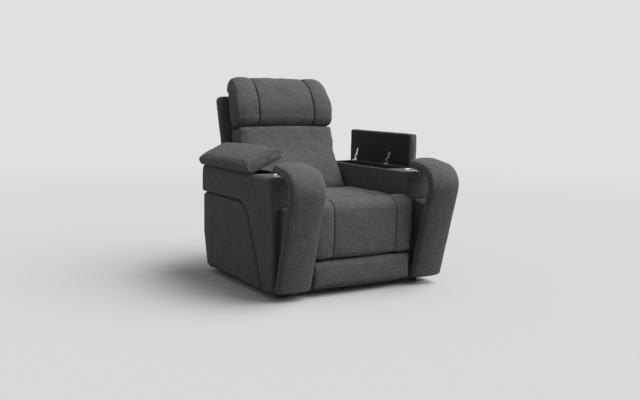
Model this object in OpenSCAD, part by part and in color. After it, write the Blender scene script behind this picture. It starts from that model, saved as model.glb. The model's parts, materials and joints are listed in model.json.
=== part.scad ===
// Power cinema recliner seat: padded arms with front posts, cup holders and lidded storage,
// a reclining back with a tilting headrest, and a footrest on two pairs of folding links.
// Frame: +X is the viewer's right, the seat faces -Y, +Z is up, floor at z = 0. Millimetres.

/* [Seat] */
// Clear width between the two arms
clear_w = 624; // [560:4:700]
// Height of the seat cushion's top
seat_top_z = 468; // [450:2:490]
// Thickness of the seat cushion
seat_cushion_t = 98; // [80:2:110]
// Depth of the seat cushion
seat_depth = 462; // [430:2:470]

/* [Arms] */
// Width of one arm
arm_w = 193; // [180:1:230]
// Height of the arm's top
arm_top_z = 600; // [580:2:640]
// Height of the arm's underside above the floor
arm_bottom_z = 32; // [28:1:40]
// How far the arm reaches in front of the origin
arm_front = 400; // [390:2:410]
// How far the arm reaches behind the origin
arm_rear = 430; // [425:1:440]
// Height of the cup holder block
housing_h = 138; // [125:1:150]
// Depth of the cup holder block from front to back
housing_d = 228; // [210:1:240]
// Thickness of the padded outer side
outer_pad_t = 22; // [16:1:26]
// Thickness of the padded inner side
inner_pad_t = 14; // [12:1:18]

/* [Front posts] */
// Lean of the post from vertical, in degrees
post_lean = 15; // [12:1:17]
// Outer radius of the bend at the top of the post
post_bend_r = 106; // [96:1:112]
// Height of the centre of that bend
post_bend_z = 543; // [535:1:560]
// How far the centre of that bend lies in front of the origin
post_bend_front = 477; // [470:1:485]
// Thickness of the post
post_t = 44; // [36:1:48]
// Length of the hook past the bend
post_tail = 116; // [90:1:120]
// Rise of the post's padded face at its middle
post_crown = 14; // [6:1:20]

/* [Arm lids] */
// Length of a lid
lid_len = 598; // [560:2:600]
// Height of the lid's boxed side
lid_side_h = 40; // [34:1:46]
// Rise of the lid's crown above its side
lid_crown = 16; // [10:1:24]
// How far the viewer's left lid stands open, in degrees
left_lid_open = 24; // [0:1:60]
// How far the viewer's right lid stands open, in degrees
right_lid_open = 90; // [0:1:90]

/* [Cup holders] */
// Inner radius of the cup
cup_r = 41.6; // [38:0.1:43]
// Depth of the cup
cup_depth = 88; // [70:1:95]

/* [Back] */
// Lean of the back from vertical, in degrees
back_lean = 15; // [12:1:18]
// Length of the outer back from the pivot to its top
shell_top = 726; // [716:1:760]
// Width of the outer back above the arms
shell_w = 700; // [680:2:720]
// Width of the back cushion above the arms
back_w = 636; // [620:2:640]
// Top of the back cushion, measured along the back from the pivot
back_cushion_top = 510; // [500:1:511]

/* [Headrest] */
// Top of the headrest, measured along the back from the pivot
head_top = 812; // [795:1:830]
// Width of the headrest
head_w = 636; // [600:2:640]

/* [Footrest] */
// Height of the underside of the lower pad
footrest_bottom_z = 38; // [36:1:44]
// Height of the split between the two pads
footrest_split_z = 184; // [175:1:195]
// Thickness of the pads
footrest_pad_t = 62; // [50:1:64]
// Length of each folding link between its pivots
link_len = 235; // [232:1:238]

/* [Hidden] */

// Colours
fabric = [0.25, 0.25, 0.26];
dark_fabric = [0.17, 0.17, 0.18];
board_black = [0.10, 0.10, 0.11];
wood = [0.70, 0.56, 0.38];
steel = [0.45, 0.46, 0.48];
bright = [0.80, 0.81, 0.83];
rubber = [0.08, 0.08, 0.08];

// Shared small sizes
cut = 1;
soft_gap = 0.4;
run_gap = 0.05;
seat_gap = 0.3;
fine = 48;
sheet_t = 4;
pin_r = 6;
pin_head_t = 3;
pin_head_over = 3;
pin_reach = 1;
eye_r = 12;

// Arm outline
arm_in = clear_w / 2;
arm_out = arm_in + arm_w;
core_in = arm_in + inner_pad_t;
core_out = arm_out - outer_pad_t;
core_wall = 12;
lower_rear = 15;
core_rear_gap = 2;
core_rear = arm_rear - lower_rear - core_rear_gap;
rear_tuck = 36;
front_lean = 35;
housing_z = arm_top_z - housing_h;
housing_rear = -arm_front + housing_d;
top_step = 4;
core_front = -arm_front + top_step;
core_top = arm_top_z - top_step;
inner_edge = 8;
seam_drop = 151;
seam_z = arm_top_z - seam_drop;
seam_r = 148;
seam_y = -6;
seam_lean = 24;
seam_groove = 7;
panel_edge = 13;
panel_base = 6;
panel_top_edge = 19;
corner_r = 34;
corner_rise = 200;
panel_over = 6;
bottom_rise = 16;

// Front posts
post_lift = 2;
post_hook_angle = 79;
post_side_gap = 3;
post_end_in = 9;
post_end_share = 0.72;
post_taper = 1.2;
post_edge_r = 14;
web_in = 40;
web_out = 44;
web_foot = 40;

// Lids: u runs inward from the hinge line, v up from it
hinge_r = 4;
hinge_pin_r = 2;
hinge_len = 44;
leaf_w = 16;
leaf_t = 1.5;
fixed_leaf = 20;
leaf_len = 62;
leaf_lean = 22;
leaf_start = 16;
hinge_places_share = [0.37, 0.91];
lid_in = 7;
lid_axis_in = 12;
lid_out = 22;
lid_front_gap = 2;
lid_board_t = 12;
lid_rim = 9;
lid_end_round = 13;
lid_end_drop = 4;
lid_under = -leaf_t;
lid_x = arm_out - lid_axis_in;
lid_z = arm_top_z + hinge_r;
lid_w = lid_x - arm_in + lid_in;
lid_y0 = housing_rear + lid_front_gap;
lid_top = lid_side_h + lid_crown;

// Cups and tubs
cup_wall = 1.2;
cup_floor = 2;
cup_lip = 3;
cup_lip_t = 1.5;
cup_front = 100;
ring_r = 7.5;
ring_h = 5;
ring_gap = 0.2;
cup_x = (core_in + core_out) / 2;
cup_y = -arm_front + cup_front;
tub_wall = 3;
tub_gap = 2;
tub_depth = 255;
tub_flange_t = 3;

// Seat
seat_reach = 312;
seat_front = -seat_reach;
seat_rear = seat_depth - seat_reach;
seat_side_gap = 10;
seat_half = arm_in - seat_side_gap;
seat_under_z = seat_top_z - seat_cushion_t;
seat_round = 20;
seat_crown = 8;
seat_groove = 4;
seat_seam_w = 12;
seat_seam_share = 0.63;
rail_h = 34;
rail_w = 34;
seat_frame_in = 2;
seat_frame_set = 12;
seat_frame_over = 15;
seat_frame_z = seat_under_z - soft_gap - rail_h;
seat_frame_half = seat_half - seat_frame_in;
seat_frame_front = seat_front + seat_frame_set;
seat_frame_rear = seat_rear + seat_frame_over;
spring_w = 5;
spring_count = 6;
spring_wave = 18;
spring_t = 4;
spring_drop = 10;

// Seat cushion, as shares of its depth from the front and of its thickness
seat_shares = [[0.02, 0], [0.68, 0], [1.07, 0], [1.07, 0.29], [1.05, 0.53], [1.01, 0.78], [0.97, 0.97], [0.8, 1.02],
    [0.61, 1.04], [0.46, 1.04], [0.24, 1.04], [0.09, 1.01], [0.02, 0.88], [0, 0.65], [0, 0.2]];
seat_face_shares = [0, 0, 0, 0, 0.3, 0.6, 0.8, 1, 1, 1, 1, 0.8, 0.4, 0.2, 0];

// Base and side plates
foot_h = 12;
foot_r = 22;
foot_in = 8;
fixing_r = 4.5;
cross_h = arm_bottom_z - foot_h;
cross_w = 34;
cross_in = 43;
cross_half = core_out - cross_in;
foot_x = cross_half - foot_r - foot_in;
cross_y = 330;
cross_wall = 2;
base_rail_w = 15;
base_rail_h = 20;
plate_gap = 22;
plate_x = arm_in - plate_gap;
plate_t = 5;
plate_front = -262;
plate_rear = 214;
plate_corner = 30;
plate_slope = 40;
boss_r = 20;
window_front = -150;
window_rear = 140;
window_low = 110;
window_top = 210;
window_corner = 20;
window_step = 40;
window_slope = 90;
tube_r = 10;
tube_wall = 2;
tube_a = [175, 160];
tube_b = [-110, 226];

// Back, in its own frame: x, t rearward from the pivot, s up along the back
pivot_y = 190;
pivot_z = 330;
bracket_gap = 1;
bracket_r = 18;
bracket_low = 20;
bracket_root = 84;
bracket_high = 220;
frame_t0 = 150;
frame_t = 35;
frame_half = plate_x - plate_t - bracket_gap;
frame_bottom = 40;
frame_top_in = 11;
frame_top = shell_top - frame_top_in;
frame_rail = 46;
mid_rail_drop = 24;
back_spring_in = 9;
back_spring_first = 40;
back_spring_pitch = 78;
back_side_gap = 15;
back_low_half = arm_in - back_side_gap;
back_widen_s = 436;
back_widen_run = 50;
back_crown = 14;
back_edge_share = 0.065;
shell_t0 = frame_t0 + frame_t;
shell_t = 48;
shell_bottom = -20;
shell_edge_r = 20;
shell_top_in = 30;
shell_step_in = 8;

// Back cushion, as shares of its depth in front of the frame and of its height; then its middle
back_shares = [[1, 0.19], [1, 0.49], [1, 0.78], [1, 0.96], [0.92, 0.996], [0.67, 1], [0.51, 0.998], [0.4, 0.976],
    [0.35, 0.92], [0.27, 0.82], [0.16, 0.71], [0.03, 0.59], [-0.11, 0.48], [-0.24, 0.363], [-0.33, 0.285],
    [-0.36, 0.24], [-0.31, 0.205], [-0.19, 0.185], [0.13, 0.18], [0.6, 0.18]];
back_face_shares = [0, 0, 0, 0, 0, 0, 0.3, 0.8, 1, 1, 1, 1, 1, 1, 0.9, 0.7, 0.4, 0.1, 0, 0];
back_middle_share = [0.4, 0.59];

// Headrest
head_roll_r = 58;
head_pivot_t = 86;
head_gap = 5;
head_pivot_s = back_cushion_top + head_roll_r + head_gap;
head_back_t = 168;
head_front_t = 20;
head_round_s = 190;
head_round = 22;
head_crown = 7;
head_groove = 7;
head_seam_w = 11;
head_seam_share = 0.572;
head_taper_s = 90;
head_taper_share = 0.09;
head_low_gap = 6;
head_top_gap = 2;
shell_gap = 4;
shell_over = 16;
lug_in = 87;
lug_x = head_w / 2 - lug_in;
lug_t = 7;
lug_r = 14;
lug_foot = 20;
lug_rise = 60;
lug_gap = 4;
arm_x = lug_x + lug_t + lug_gap;
head_arm_t = 5;
head_arm_root = 20;
head_arm_flange = 22;
head_arm_w = 34;
head_board_t0 = 112;
head_board_t = 12;
head_board_in = 6;
head_board_up = 4;
head_board_drop = 36;
slot_in = 4;
slot_front = 30;
slot_over = 2;
head_motor_half = 30;
head_motor_len = 80;
head_motor_r = 15;
head_motor_gap = 2;

// Headrest's crown, from its rear face over the top and down the front, as shares of its depth and height
head_shares = [[1, 0.24], [0.92, 0.08], [0.76, 0.015], [0.595, 0], [0.46, 0.04], [0.31, 0.16], [0.176, 0.33],
    [0.08, 0.505], [0.013, 0.79], [0, 1]];

// Footrest, forward distance f = -y
roll_gap = 10;
roll_rear_f = seat_reach + roll_gap;
board_set = 51;
board_f = roll_rear_f + board_set;
board_t = 12;
board_side_in = 16;
board_low = 8;
board_drop = 6;
pad_f = board_f + board_t;
pad_half = arm_in - seat_side_gap;
board_half = pad_half - board_side_in;
roll_drop = 38;
roll_z0 = seat_top_z - roll_drop;
crest_rise = 19;
crest_z = seat_top_z + crest_rise;
roll_r = 62;
split_gap = 10;
foot_round = 18;
foot_crown = 7;
foot_groove = 6;
lower_crown = 5;
lower_pad_in = 3;
lower_side_in = 4;
link_w = 26;
link_t = 6;
link_gap = 1;
link_inset = 9;
knee_x = plate_x - link_inset - link_t;
link_x = knee_x - link_gap - link_t;
link_f = 208;
link_z = 300;
lower_angle = -93.75;
upper_angle = 47.95;
foot_pivot_f = link_f + link_len * (cos(lower_angle) + cos(upper_angle));
foot_pivot_z = link_z + link_len * (sin(lower_angle) + sin(upper_angle));
knee_f = link_f + link_len * cos(lower_angle);
knee_z = link_z + link_len * sin(lower_angle);
knee_head_t = 2;
tube_share = 0.36;
tube_f = link_f + link_len * tube_share * cos(lower_angle);
tube_z = link_z + link_len * tube_share * sin(lower_angle);
bracket_half = 60;
bracket_web = 30;
bracket_flange = 14;

// Motors
motor_x = 70;
motor_r = 30;
motor_len = 120;
motor_back = 6;
motor_drop = 62;
gear_half = 26;
gear_side = 24;
gear_neck = 22;
gear_drop = 90;
track_w = 26;
track_h = 22;
footrest_track = 250;
recline_track = 200;
footrest_block_at = 150;
recline_block_at = 80;
block_l = 46;
block_side = 10;
block_over = 8;
block_clear = 0.3;

// Power supply and rear panel
supply_half = 80;
supply_front = 60;
supply_h = 38;
socket_x = -14;
socket_w = 20;
socket_h = 18;
socket_low = 8;
socket_d = 12;
rear_panel_in = 22;
rear_panel_t = 12;
rear_panel_low = 23;
rear_panel_h = 123;

// Controls
control_y = -150;
control_drop = 62;
control_z = arm_top_z - control_drop;
control_l = 112;
control_h = 40;
control_t = 3;
control_lap = 4;
control_back = 3;
button_r = 8;
button_pitch = 30;
button_out = 3;
button_in = 7;
button_flange = 2;

function unit(v) = v / norm(v);
function arc(cy, cz, r, a0, a1, n) = [for (i = [0:n]) let (a = a0 + (a1 - a0) * i / n) [cy + r * cos(a), cz + r * sin(a)]];
function mean(p) = [for (k = [0:len(p[0]) - 1]) [for (q = p) q[k]] * [for (q = p) 1] / len(p)];

// Outward normals of a closed outline whose points run anticlockwise
function normals(p) = let (n = len(p)) [for (i = [0:n - 1])
    let (a = p[(i + n - 1) % n], b = p[(i + 1) % n], d = unit(b - a)) [d[1], -d[0]]];

// Closed skin over rings of equal length, with a fan of triangles at each end
module skin(rings, hub_a, hub_b) {
    m = len(rings[0]);
    k = len(rings);
    pts = concat([for (r = rings) each r], [hub_a, hub_b]);
    sides = [for (j = [0:k - 2]) for (i = [0:m - 1])
        let (a = j * m + i, b = j * m + (i + 1) % m, c = a + m, d = b + m) each [[a, d, b], [a, c, d]]];
    end_a = [for (i = [0:m - 1]) [k * m, i, (i + 1) % m]];
    end_b = [for (i = [0:m - 1]) [k * m + 1, (k - 1) * m + (i + 1) % m, (k - 1) * m + i]];
    polyhedron(points = pts, faces = concat(sides, end_a, end_b));
}

// Padded form along X: stations are [x, inset all round, inset of the weighted face]
module loft_x(outline, face_share, stations, hub) {
    n = normals(outline);
    rings = [for (s = stations) [for (i = [0:len(outline) - 1])
        let (q = outline[i] - n[i] * (s[1] + s[2] * face_share[i])) [s[0], q[0], q[1]]]];
    skin(rings, [stations[0][0], hub[0], hub[1]], [stations[len(stations) - 1][0], hub[0], hub[1]]);
}

// Rounded rectangle of half width w and half thickness h
function round_rect(w, h, r) = [for (c = [[1, -1, -90], [1, 1, 0], [-1, 1, 90], [-1, -1, 180]]) for (i = [0:2])
    let (a = c[2] + 45 * i) [c[0] * (w - r) + r * cos(a), c[1] * (h - r) + r * sin(a)]];

// Padded strip along a path of [y, z, half width, half thickness]; its outer face rises by crown
module strip(path, x, r, crown) {
    k = len(path);
    rings = [for (i = [0:k - 1])
        let (a = path[max(i - 1, 0)], b = path[min(i + 1, k - 1)], d = unit([b[0] - a[0], b[1] - a[1]]),
            w = path[i][2], h = path[i][3], face = crown > 0 ? [for (c = [-0.6, 0, 0.6])
                [w * c, -h - crown * (1 - c * c) * (i == 0 || i == k - 1 ? 0.3 : 1)]] : [])
        [for (q = concat(round_rect(w, h, min(r, h * 0.9)), face))
            [x + q[0], path[i][0] + d[1] * q[1], path[i][1] - d[0] * q[1]]]];
    skin(rings, mean(rings[0]), mean(rings[k - 1]));
}

// Stations for a padded width with seams: rounded ends, a crown, and a groove at each seam
function padded_stations(half, round_in, crown, seam, groove, seam_w) = let (
    e = [[half, round_in], [half - round_in * 0.35, round_in * 0.35], [half - round_in, 0]],
    m = seam > 0
        ? [[(half - round_in + seam + seam_w) / 2, 0, -crown * 0.45], [seam + seam_w, 0, -crown * 0.4],
            [seam, 0, groove], [seam - seam_w, 0, -crown * 0.65], [seam * 0.45, 0, -crown * 0.95]]
        : [[half * 0.75, 0, -crown * 0.5], [half * 0.4, 0, -crown * 0.88]],
    right = concat([for (q = e) [q[0], q[1], 0]], m))
    concat([for (q = right) [-q[0], q[1], q[2]]], [[0, 0, -crown]], [for (i = [len(right) - 1:-1:0]) right[i]]);

module across(x0, x1) translate([x0, 0, 0]) rotate([90, 0, 90]) linear_extrude(x1 - x0) children();
module box(a, b) translate(a) cube(b - a);
module rod_x(x0, x1, y, z, r) translate([x0, y, z]) rotate([0, 90, 0]) cylinder(h = x1 - x0, r = r, $fn = fine);
module both_sides() { children(); mirror([1, 0, 0]) children(); }
module on_side(side) if (side > 0) children(); else mirror([1, 0, 0]) children();
module in_back() translate([0, pivot_y, pivot_z]) rotate([-back_lean, 0, 0]) children();

// Arms
module arm_frame(side) on_side(side) color(wood) difference() {
    across(core_in, core_out) polygon([[core_front, arm_bottom_z], [arm_rear - lower_rear - rear_tuck, arm_bottom_z],
        [core_rear, arm_bottom_z + rear_tuck], [core_rear, core_top], [housing_rear, core_top],
        [housing_rear, housing_z], [core_front, housing_z]]);
    box([core_in + core_wall, housing_rear + core_wall, arm_bottom_z + rear_tuck],
        [core_out - core_wall, core_rear - core_wall, arm_top_z + cut]);
    box([core_in + core_wall, core_front + core_wall, arm_bottom_z + rear_tuck],
        [core_out - core_wall, housing_rear + core_wall + cut, housing_z - core_wall]);
}

module inner_panel(side) on_side(side) color(dark_fabric) difference() {
    across(arm_in, core_in) polygon([[core_front, arm_bottom_z + inner_edge],
        [arm_rear - lower_rear, arm_bottom_z + inner_edge], [arm_rear - lower_rear, arm_top_z - inner_edge],
        [arm_rear - lower_rear - inner_edge, arm_top_z], [-arm_front + front_lean, arm_top_z], [-arm_front, housing_z]]);
    if (side < 0)
        box([arm_in - cut, control_y - control_l / 2 + control_lap, control_z - control_h / 2 + control_lap],
            [core_in - control_back, control_y + control_l / 2 - control_lap, control_z + control_h / 2 - control_lap]);
}

// The curved seam on the arm's outer side, from its level run down to the floor
function seam_line(gap) = let (z = seam_z - gap, r = seam_r - gap, a = 180 - seam_lean,
        p = [seam_y + r * cos(a), z - r + r * sin(a)], low = p[1] - arm_bottom_z)
    concat(arc(seam_y, z - r, r, 90, a, 8), [[p[0] - low * tan(seam_lean), arm_bottom_z]]);

// Outline of the lower panel, drawn in by d
function lower_outline(d) = let (yr = arm_rear - lower_rear - d)
    concat([[yr, seam_z - seam_groove / 2 - d]],
        [for (q = seam_line(seam_groove / 2 + d)) [q[0] + d * 0.35, max(q[1], arm_bottom_z + d)]],
        arc(yr - corner_r - rear_tuck, arm_bottom_z + bottom_rise + corner_r + d, corner_r, -90, 0, 3),
        [[yr, arm_bottom_z + corner_rise]]);

// Outline of the whole outer side, drawn in by d, and by t along its top
function side_outline(d, t) = [[-arm_front + d, arm_bottom_z + d], [seam_y, arm_bottom_z + d],
    [arm_rear + panel_over - d, seam_z + d], [arm_rear + panel_over - d, arm_top_z - t - panel_over],
    [arm_rear - d, arm_top_z - t], [-arm_front + front_lean + d / 2, arm_top_z - t], [-arm_front + d, housing_z]];

// Outline of the region that the lower panel and its groove take, grown by g
function lower_region(g) = let (s = arc(seam_y, seam_z - seam_r, seam_r + g, 90, 180 - seam_lean, 8),
        low = s[8][1] - arm_bottom_z + cut)
    concat([[arm_rear + panel_over + cut, seam_z + g]], s,
        [[s[8][0] - low * tan(seam_lean), arm_bottom_z - cut], [arm_rear + panel_over + cut, arm_bottom_z - cut]]);

module outer_lower_panel(side) on_side(side) color(dark_fabric) hull() {
    across(core_out, core_out + panel_base) polygon(lower_outline(0));
    across(core_out, arm_out) polygon(lower_outline(panel_edge));
}

module outer_upper_panel(side) on_side(side) color(dark_fabric) difference() {
    hull() {
        across(core_out, core_out + panel_base) polygon(side_outline(0, 0));
        across(core_out, arm_out) polygon(side_outline(panel_edge, panel_top_edge));
    }
    hull() {
        across(core_out - cut, core_out + panel_base) polygon(lower_region(seam_groove / 2));
        across(core_out - cut, arm_out + cut) polygon(lower_region(seam_groove / 2 - cut));
        across(arm_out, arm_out + cut) polygon(lower_region(seam_groove / 2 + panel_edge));
    }
}

module cup_housing(side) on_side(side) color(fabric) difference() {
    across(core_in, core_out) polygon([[-arm_front, housing_z], [housing_rear, housing_z], [housing_rear, arm_top_z],
        [-arm_front + front_lean, arm_top_z]]);
    translate([cup_x, cup_y, arm_top_z - cup_depth - cup_floor])
        cylinder(h = cup_depth + cup_floor + cut, r = cup_r + cup_wall + run_gap, $fn = fine * 2);
}

module cup_liner(side) on_side(side) color(steel) translate([cup_x, cup_y, arm_top_z - cup_depth - cup_floor])
    difference() {
        union() {
            cylinder(h = cup_depth + cup_floor, r = cup_r + cup_wall, $fn = fine * 2);
            translate([0, 0, cup_depth + cup_floor]) cylinder(h = cup_lip_t, r = cup_r + cup_lip, $fn = fine * 2);
        }
        translate([0, 0, cup_floor]) cylinder(h = cup_depth + cup_lip_t + cut, r = cup_r, $fn = fine * 2);
    }

module cup_ring(side) on_side(side) color(bright) translate([cup_x, cup_y, arm_top_z]) rotate_extrude($fn = fine * 2)
    polygon([[cup_r + cup_lip, 0], [cup_r + ring_r, 0], [cup_r + ring_r, ring_h * 0.5], [cup_r + ring_r * 0.85, ring_h * 0.85],
        [cup_r + ring_r * 0.6, ring_h], [cup_r + ring_r * 0.25, ring_h * 0.9], [cup_r + ring_gap, ring_h * 0.6],
        [cup_r + ring_gap, cup_lip_t], [cup_r + cup_lip, cup_lip_t]]);

module storage_tub(side) on_side(side) color(board_black) {
    a = [core_in + core_wall + tub_gap, housing_rear + core_wall + tub_gap, core_top - tub_depth];
    b = [core_out - core_wall - tub_gap, core_rear - core_wall - tub_gap, core_top];
    difference() {
        union() {
            box(a, [b[0], b[1], core_top + tub_flange_t]);
            box([core_in, housing_rear, core_top], [core_out, core_rear, core_top + tub_flange_t]);
        }
        box([a[0] + tub_wall, a[1] + tub_wall, a[2] + tub_wall], [b[0] - tub_wall, b[1] - tub_wall, arm_top_z + cut]);
    }
}

// Post: a straight leaning run, a bend and a hook, as [forward, z] on its middle line
post_mid_r = post_bend_r - post_t / 2;
post_foot_z = arm_bottom_z + post_lift;
post_line = let (
        p = [post_bend_front + post_mid_r * cos(post_lean), post_bend_z - post_mid_r * sin(post_lean)],
        run = (p[1] - post_foot_z - post_t * 0.3) / cos(post_lean), e = post_hook_angle,
        q = [post_bend_front + post_mid_r * cos(e), post_bend_z + post_mid_r * sin(e)])
    concat([for (k = [0:4]) p - [sin(post_lean), cos(post_lean)] * run * (1 - k / 5)],
        arc(post_bend_front, post_bend_z, post_mid_r, -post_lean, e, 8),
        [for (k = [1:3]) q + [-sin(e), cos(e)] * post_tail * k / 3]);

module post(side) on_side(side) color(fabric) {
    half = (arm_w - post_side_gap) / 2;
    n = len(post_line);
    strip([for (i = [0:n - 1]) let (last = i == 0 || i == n - 1, tail = max(0, i - n + 4))
        [-post_line[i][0], post_line[i][1], half - (last ? post_end_in : 0),
            post_t / 2 * (last ? post_end_share : 1) - tail * post_taper]],
        arm_out - half, post_edge_r, post_crown);
}

module post_web(side) on_side(side) color(dark_fabric) across(arm_in + web_in, arm_out - web_out)
    polygon([[core_front - seat_gap, arm_bottom_z + web_foot], [core_front - seat_gap, housing_z - top_step],
        for (k = [3, 2, 1, 0]) [-post_line[k + 1][0] + post_t / 2 / cos(post_lean) + soft_gap, post_line[k + 1][1]]]);

// Lids, drawn closed on the viewer's right and then opened about their hinge line
module lid_place(side) on_side(side) translate([lid_x, 0, lid_z])
    rotate([0, side > 0 ? right_lid_open : left_lid_open, 0]) translate([-lid_x, 0, -lid_z]) children();

module hinge_spots() for (h = hinge_places_share) translate([lid_x, lid_y0 + lid_len * h, lid_z]) children();

module lid_board(side) lid_place(side) {
    color(board_black) box([lid_x - lid_w + lid_rim, lid_y0 + lid_rim, lid_z + lid_under],
        [lid_x - hinge_r - cut, lid_y0 + lid_len - lid_rim, lid_z + lid_under + lid_board_t]);
    color(bright) hinge_spots() {
        difference() {
            union() {
                rotate([90, 0, 0]) cylinder(h = hinge_len / 2, r = hinge_r, $fn = fine);
                translate([-leaf_w * 2, -hinge_len / 2, lid_under - leaf_t]) cube([leaf_w * 2, hinge_len / 2, leaf_t]);
            }
            translate([0, cut, 0]) rotate([90, 0, 0])
                cylinder(h = hinge_len, r = hinge_pin_r + run_gap, $fn = fine);
        }
        translate([-leaf_start, -hinge_len / 4, lid_under - leaf_t]) rotate([0, 0, 180 + leaf_lean])
            translate([0, -leaf_w / 2, 0]) cube([leaf_len, leaf_w, leaf_t]);
    }
}

// Outline of the padded lid as [u, v], and its stations along the length
lid_outline = [[-hinge_r * 0.75, lid_under], [lid_w / 2, lid_under], [lid_w - lid_side_h * 0.125, lid_under],
    [lid_w, lid_side_h * 0.2], [lid_w + lid_side_h * 0.025, lid_side_h * 0.6], [lid_w - lid_side_h * 0.075, lid_side_h],
    [lid_w * 0.84, lid_side_h + lid_crown * 0.62], [lid_w * 0.64, lid_top - lid_crown * 0.125], [lid_w * 0.44, lid_top],
    [lid_w * 0.24, lid_side_h + lid_crown * 0.84], [lid_w * 0.06, lid_side_h + lid_crown * 0.42],
    [-lid_out + lid_side_h * 0.1, lid_side_h], [-lid_out, lid_side_h * 0.6],
    [-lid_out + lid_side_h * 0.075, lid_side_h * 0.325], [-lid_out / 2, lid_side_h * 0.125]];
lid_face_share = [0, 0, 0, 0, 0, 0.4, 1, 1, 1, 1, 1, 0.4, 0, 0, 0];
lid_stations_share = [[0, 1, 1], [0.012, 0.3, 1], [0.04, 0, 0.8], [0.15, 0, 0.4], [0.32, 0, 0.1], [0.5, 0, 0],
    [0.68, 0, 0.1], [0.85, 0, 0.4], [0.96, 0, 0.8], [0.988, 0.3, 1], [1, 1, 1]];

module lid_pad(side) lid_place(side) color(fabric) difference() {
    translate([lid_x, 0, lid_z]) rotate([0, 0, 90]) loft_x(lid_outline, lid_face_share,
        [for (q = lid_stations_share) [lid_y0 + lid_len * q[0], lid_end_round * q[1], lid_end_drop * q[2]]],
        [lid_w / 2, lid_side_h * 0.6]);
    box([lid_x - lid_w + lid_rim - soft_gap, lid_y0 + lid_rim - soft_gap, lid_z + lid_under - cut],
        [lid_x - hinge_r - cut + soft_gap, lid_y0 + lid_len - lid_rim + soft_gap, lid_z + lid_under + lid_board_t + soft_gap]);
    hinge_spots() translate([-leaf_w * 2 - soft_gap, -hinge_len / 2 - soft_gap, lid_under - leaf_t - cut])
        cube([leaf_w * 2 + soft_gap * 2 + hinge_r, hinge_len + soft_gap * 2, -lid_under + leaf_t + hinge_r + cut + soft_gap]);
}

module lid_hinge_pins() color(bright) both_sides() hinge_spots() {
    translate([0, hinge_len / 2, 0]) rotate([90, 0, 0]) cylinder(h = hinge_len, r = hinge_pin_r, $fn = fine);
    difference() {
        union() {
            translate([0, hinge_len / 2, 0]) rotate([90, 0, 0])
                cylinder(h = hinge_len / 2 - seat_gap, r = hinge_r, $fn = fine);
            translate([-fixed_leaf, seat_gap, -hinge_r]) cube([fixed_leaf, hinge_len / 2 - seat_gap, leaf_t]);
        }
        translate([0, hinge_len, 0]) rotate([90, 0, 0]) cylinder(h = hinge_len, r = hinge_pin_r, $fn = fine);
    }
}

// Seat
module seat_frame() color(wood) difference() {
    box([-seat_frame_half, seat_frame_front, seat_frame_z], [seat_frame_half, seat_frame_rear, seat_frame_z + rail_h]);
    box([-seat_frame_half + rail_w, seat_frame_front + rail_w, seat_frame_z - cut],
        [seat_frame_half - rail_w, seat_frame_rear - rail_w, seat_frame_z + rail_h + cut]);
}

// One zigzag spring strand of length l
module zigzag(l, n) linear_extrude(spring_t) polygon(concat(
    [for (i = [0:n]) [i * l / n, (i % 2 == 0 ? -1 : 1) * spring_wave / 2 + spring_w / 2]],
    [for (i = [n:-1:0]) [i * l / n, (i % 2 == 0 ? -1 : 1) * spring_wave / 2 - spring_w / 2]]));

module seat_springs() color(steel) {
    span = seat_frame_half - rail_w;
    for (i = [0:spring_count - 1]) translate([-span + (i + 0.5) * 2 * span / spring_count,
        seat_frame_front + rail_w, seat_frame_z + rail_h - spring_drop])
        rotate([0, 0, 90]) zigzag(seat_frame_rear - seat_frame_front - 2 * rail_w, 22);
}

module seat_cushion() color(fabric)
    loft_x([for (q = seat_shares) [seat_front + seat_depth * q[0], seat_under_z + seat_cushion_t * q[1]]], seat_face_shares,
        padded_stations(seat_half, seat_round, seat_crown, seat_half * seat_seam_share, seat_groove, seat_seam_w),
        [0, seat_top_z - seat_cushion_t / 2]);

// Footrest
foot_outline = let (f = pad_f, e = footrest_pad_t, g = f + e, z0 = footrest_split_z + split_gap / 2, zm = (roll_z0 + z0) / 2)
    concat([[-f, z0 + e * 0.1], [-f, zm], [-f, roll_z0], [-(f + roll_rear_f) / 2, roll_z0],
        [-roll_rear_f - e * 0.1, roll_z0 + e * 0.03], [-roll_rear_f, roll_z0 + e * 0.23],
        [-roll_rear_f - e * 0.02, crest_z - e * 0.35], [-roll_rear_f - e * 0.29, crest_z - e * 0.1],
        [-f + e * 0.32, crest_z - e * 0.02]],
    arc(-g + roll_r, crest_z - roll_r, roll_r, 90, 180, 5),
    [[-g - e * 0.03, zm + e], [-g - e * 0.03, zm], [-g + e * 0.02, z0 + e * 0.8], [-g + e * 0.08, z0 + e * 0.29],
        [-g + e * 0.29, z0 + e * 0.03], [-f - e * 0.32, z0]]);

module footrest_pad() color(fabric) loft_x(foot_outline,
    [for (p = foot_outline) p[0] < -pad_f - footrest_pad_t * 0.24 ? 1 : p[1] > crest_z - roll_r * 0.2 ? 0.7 : 0],
    padded_stations(pad_half, foot_round, foot_crown, pad_half * seat_seam_share, foot_groove, seat_seam_w),
    [-pad_f - footrest_pad_t * 0.4, roll_z0 + footrest_pad_t * 0.32]);

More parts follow.
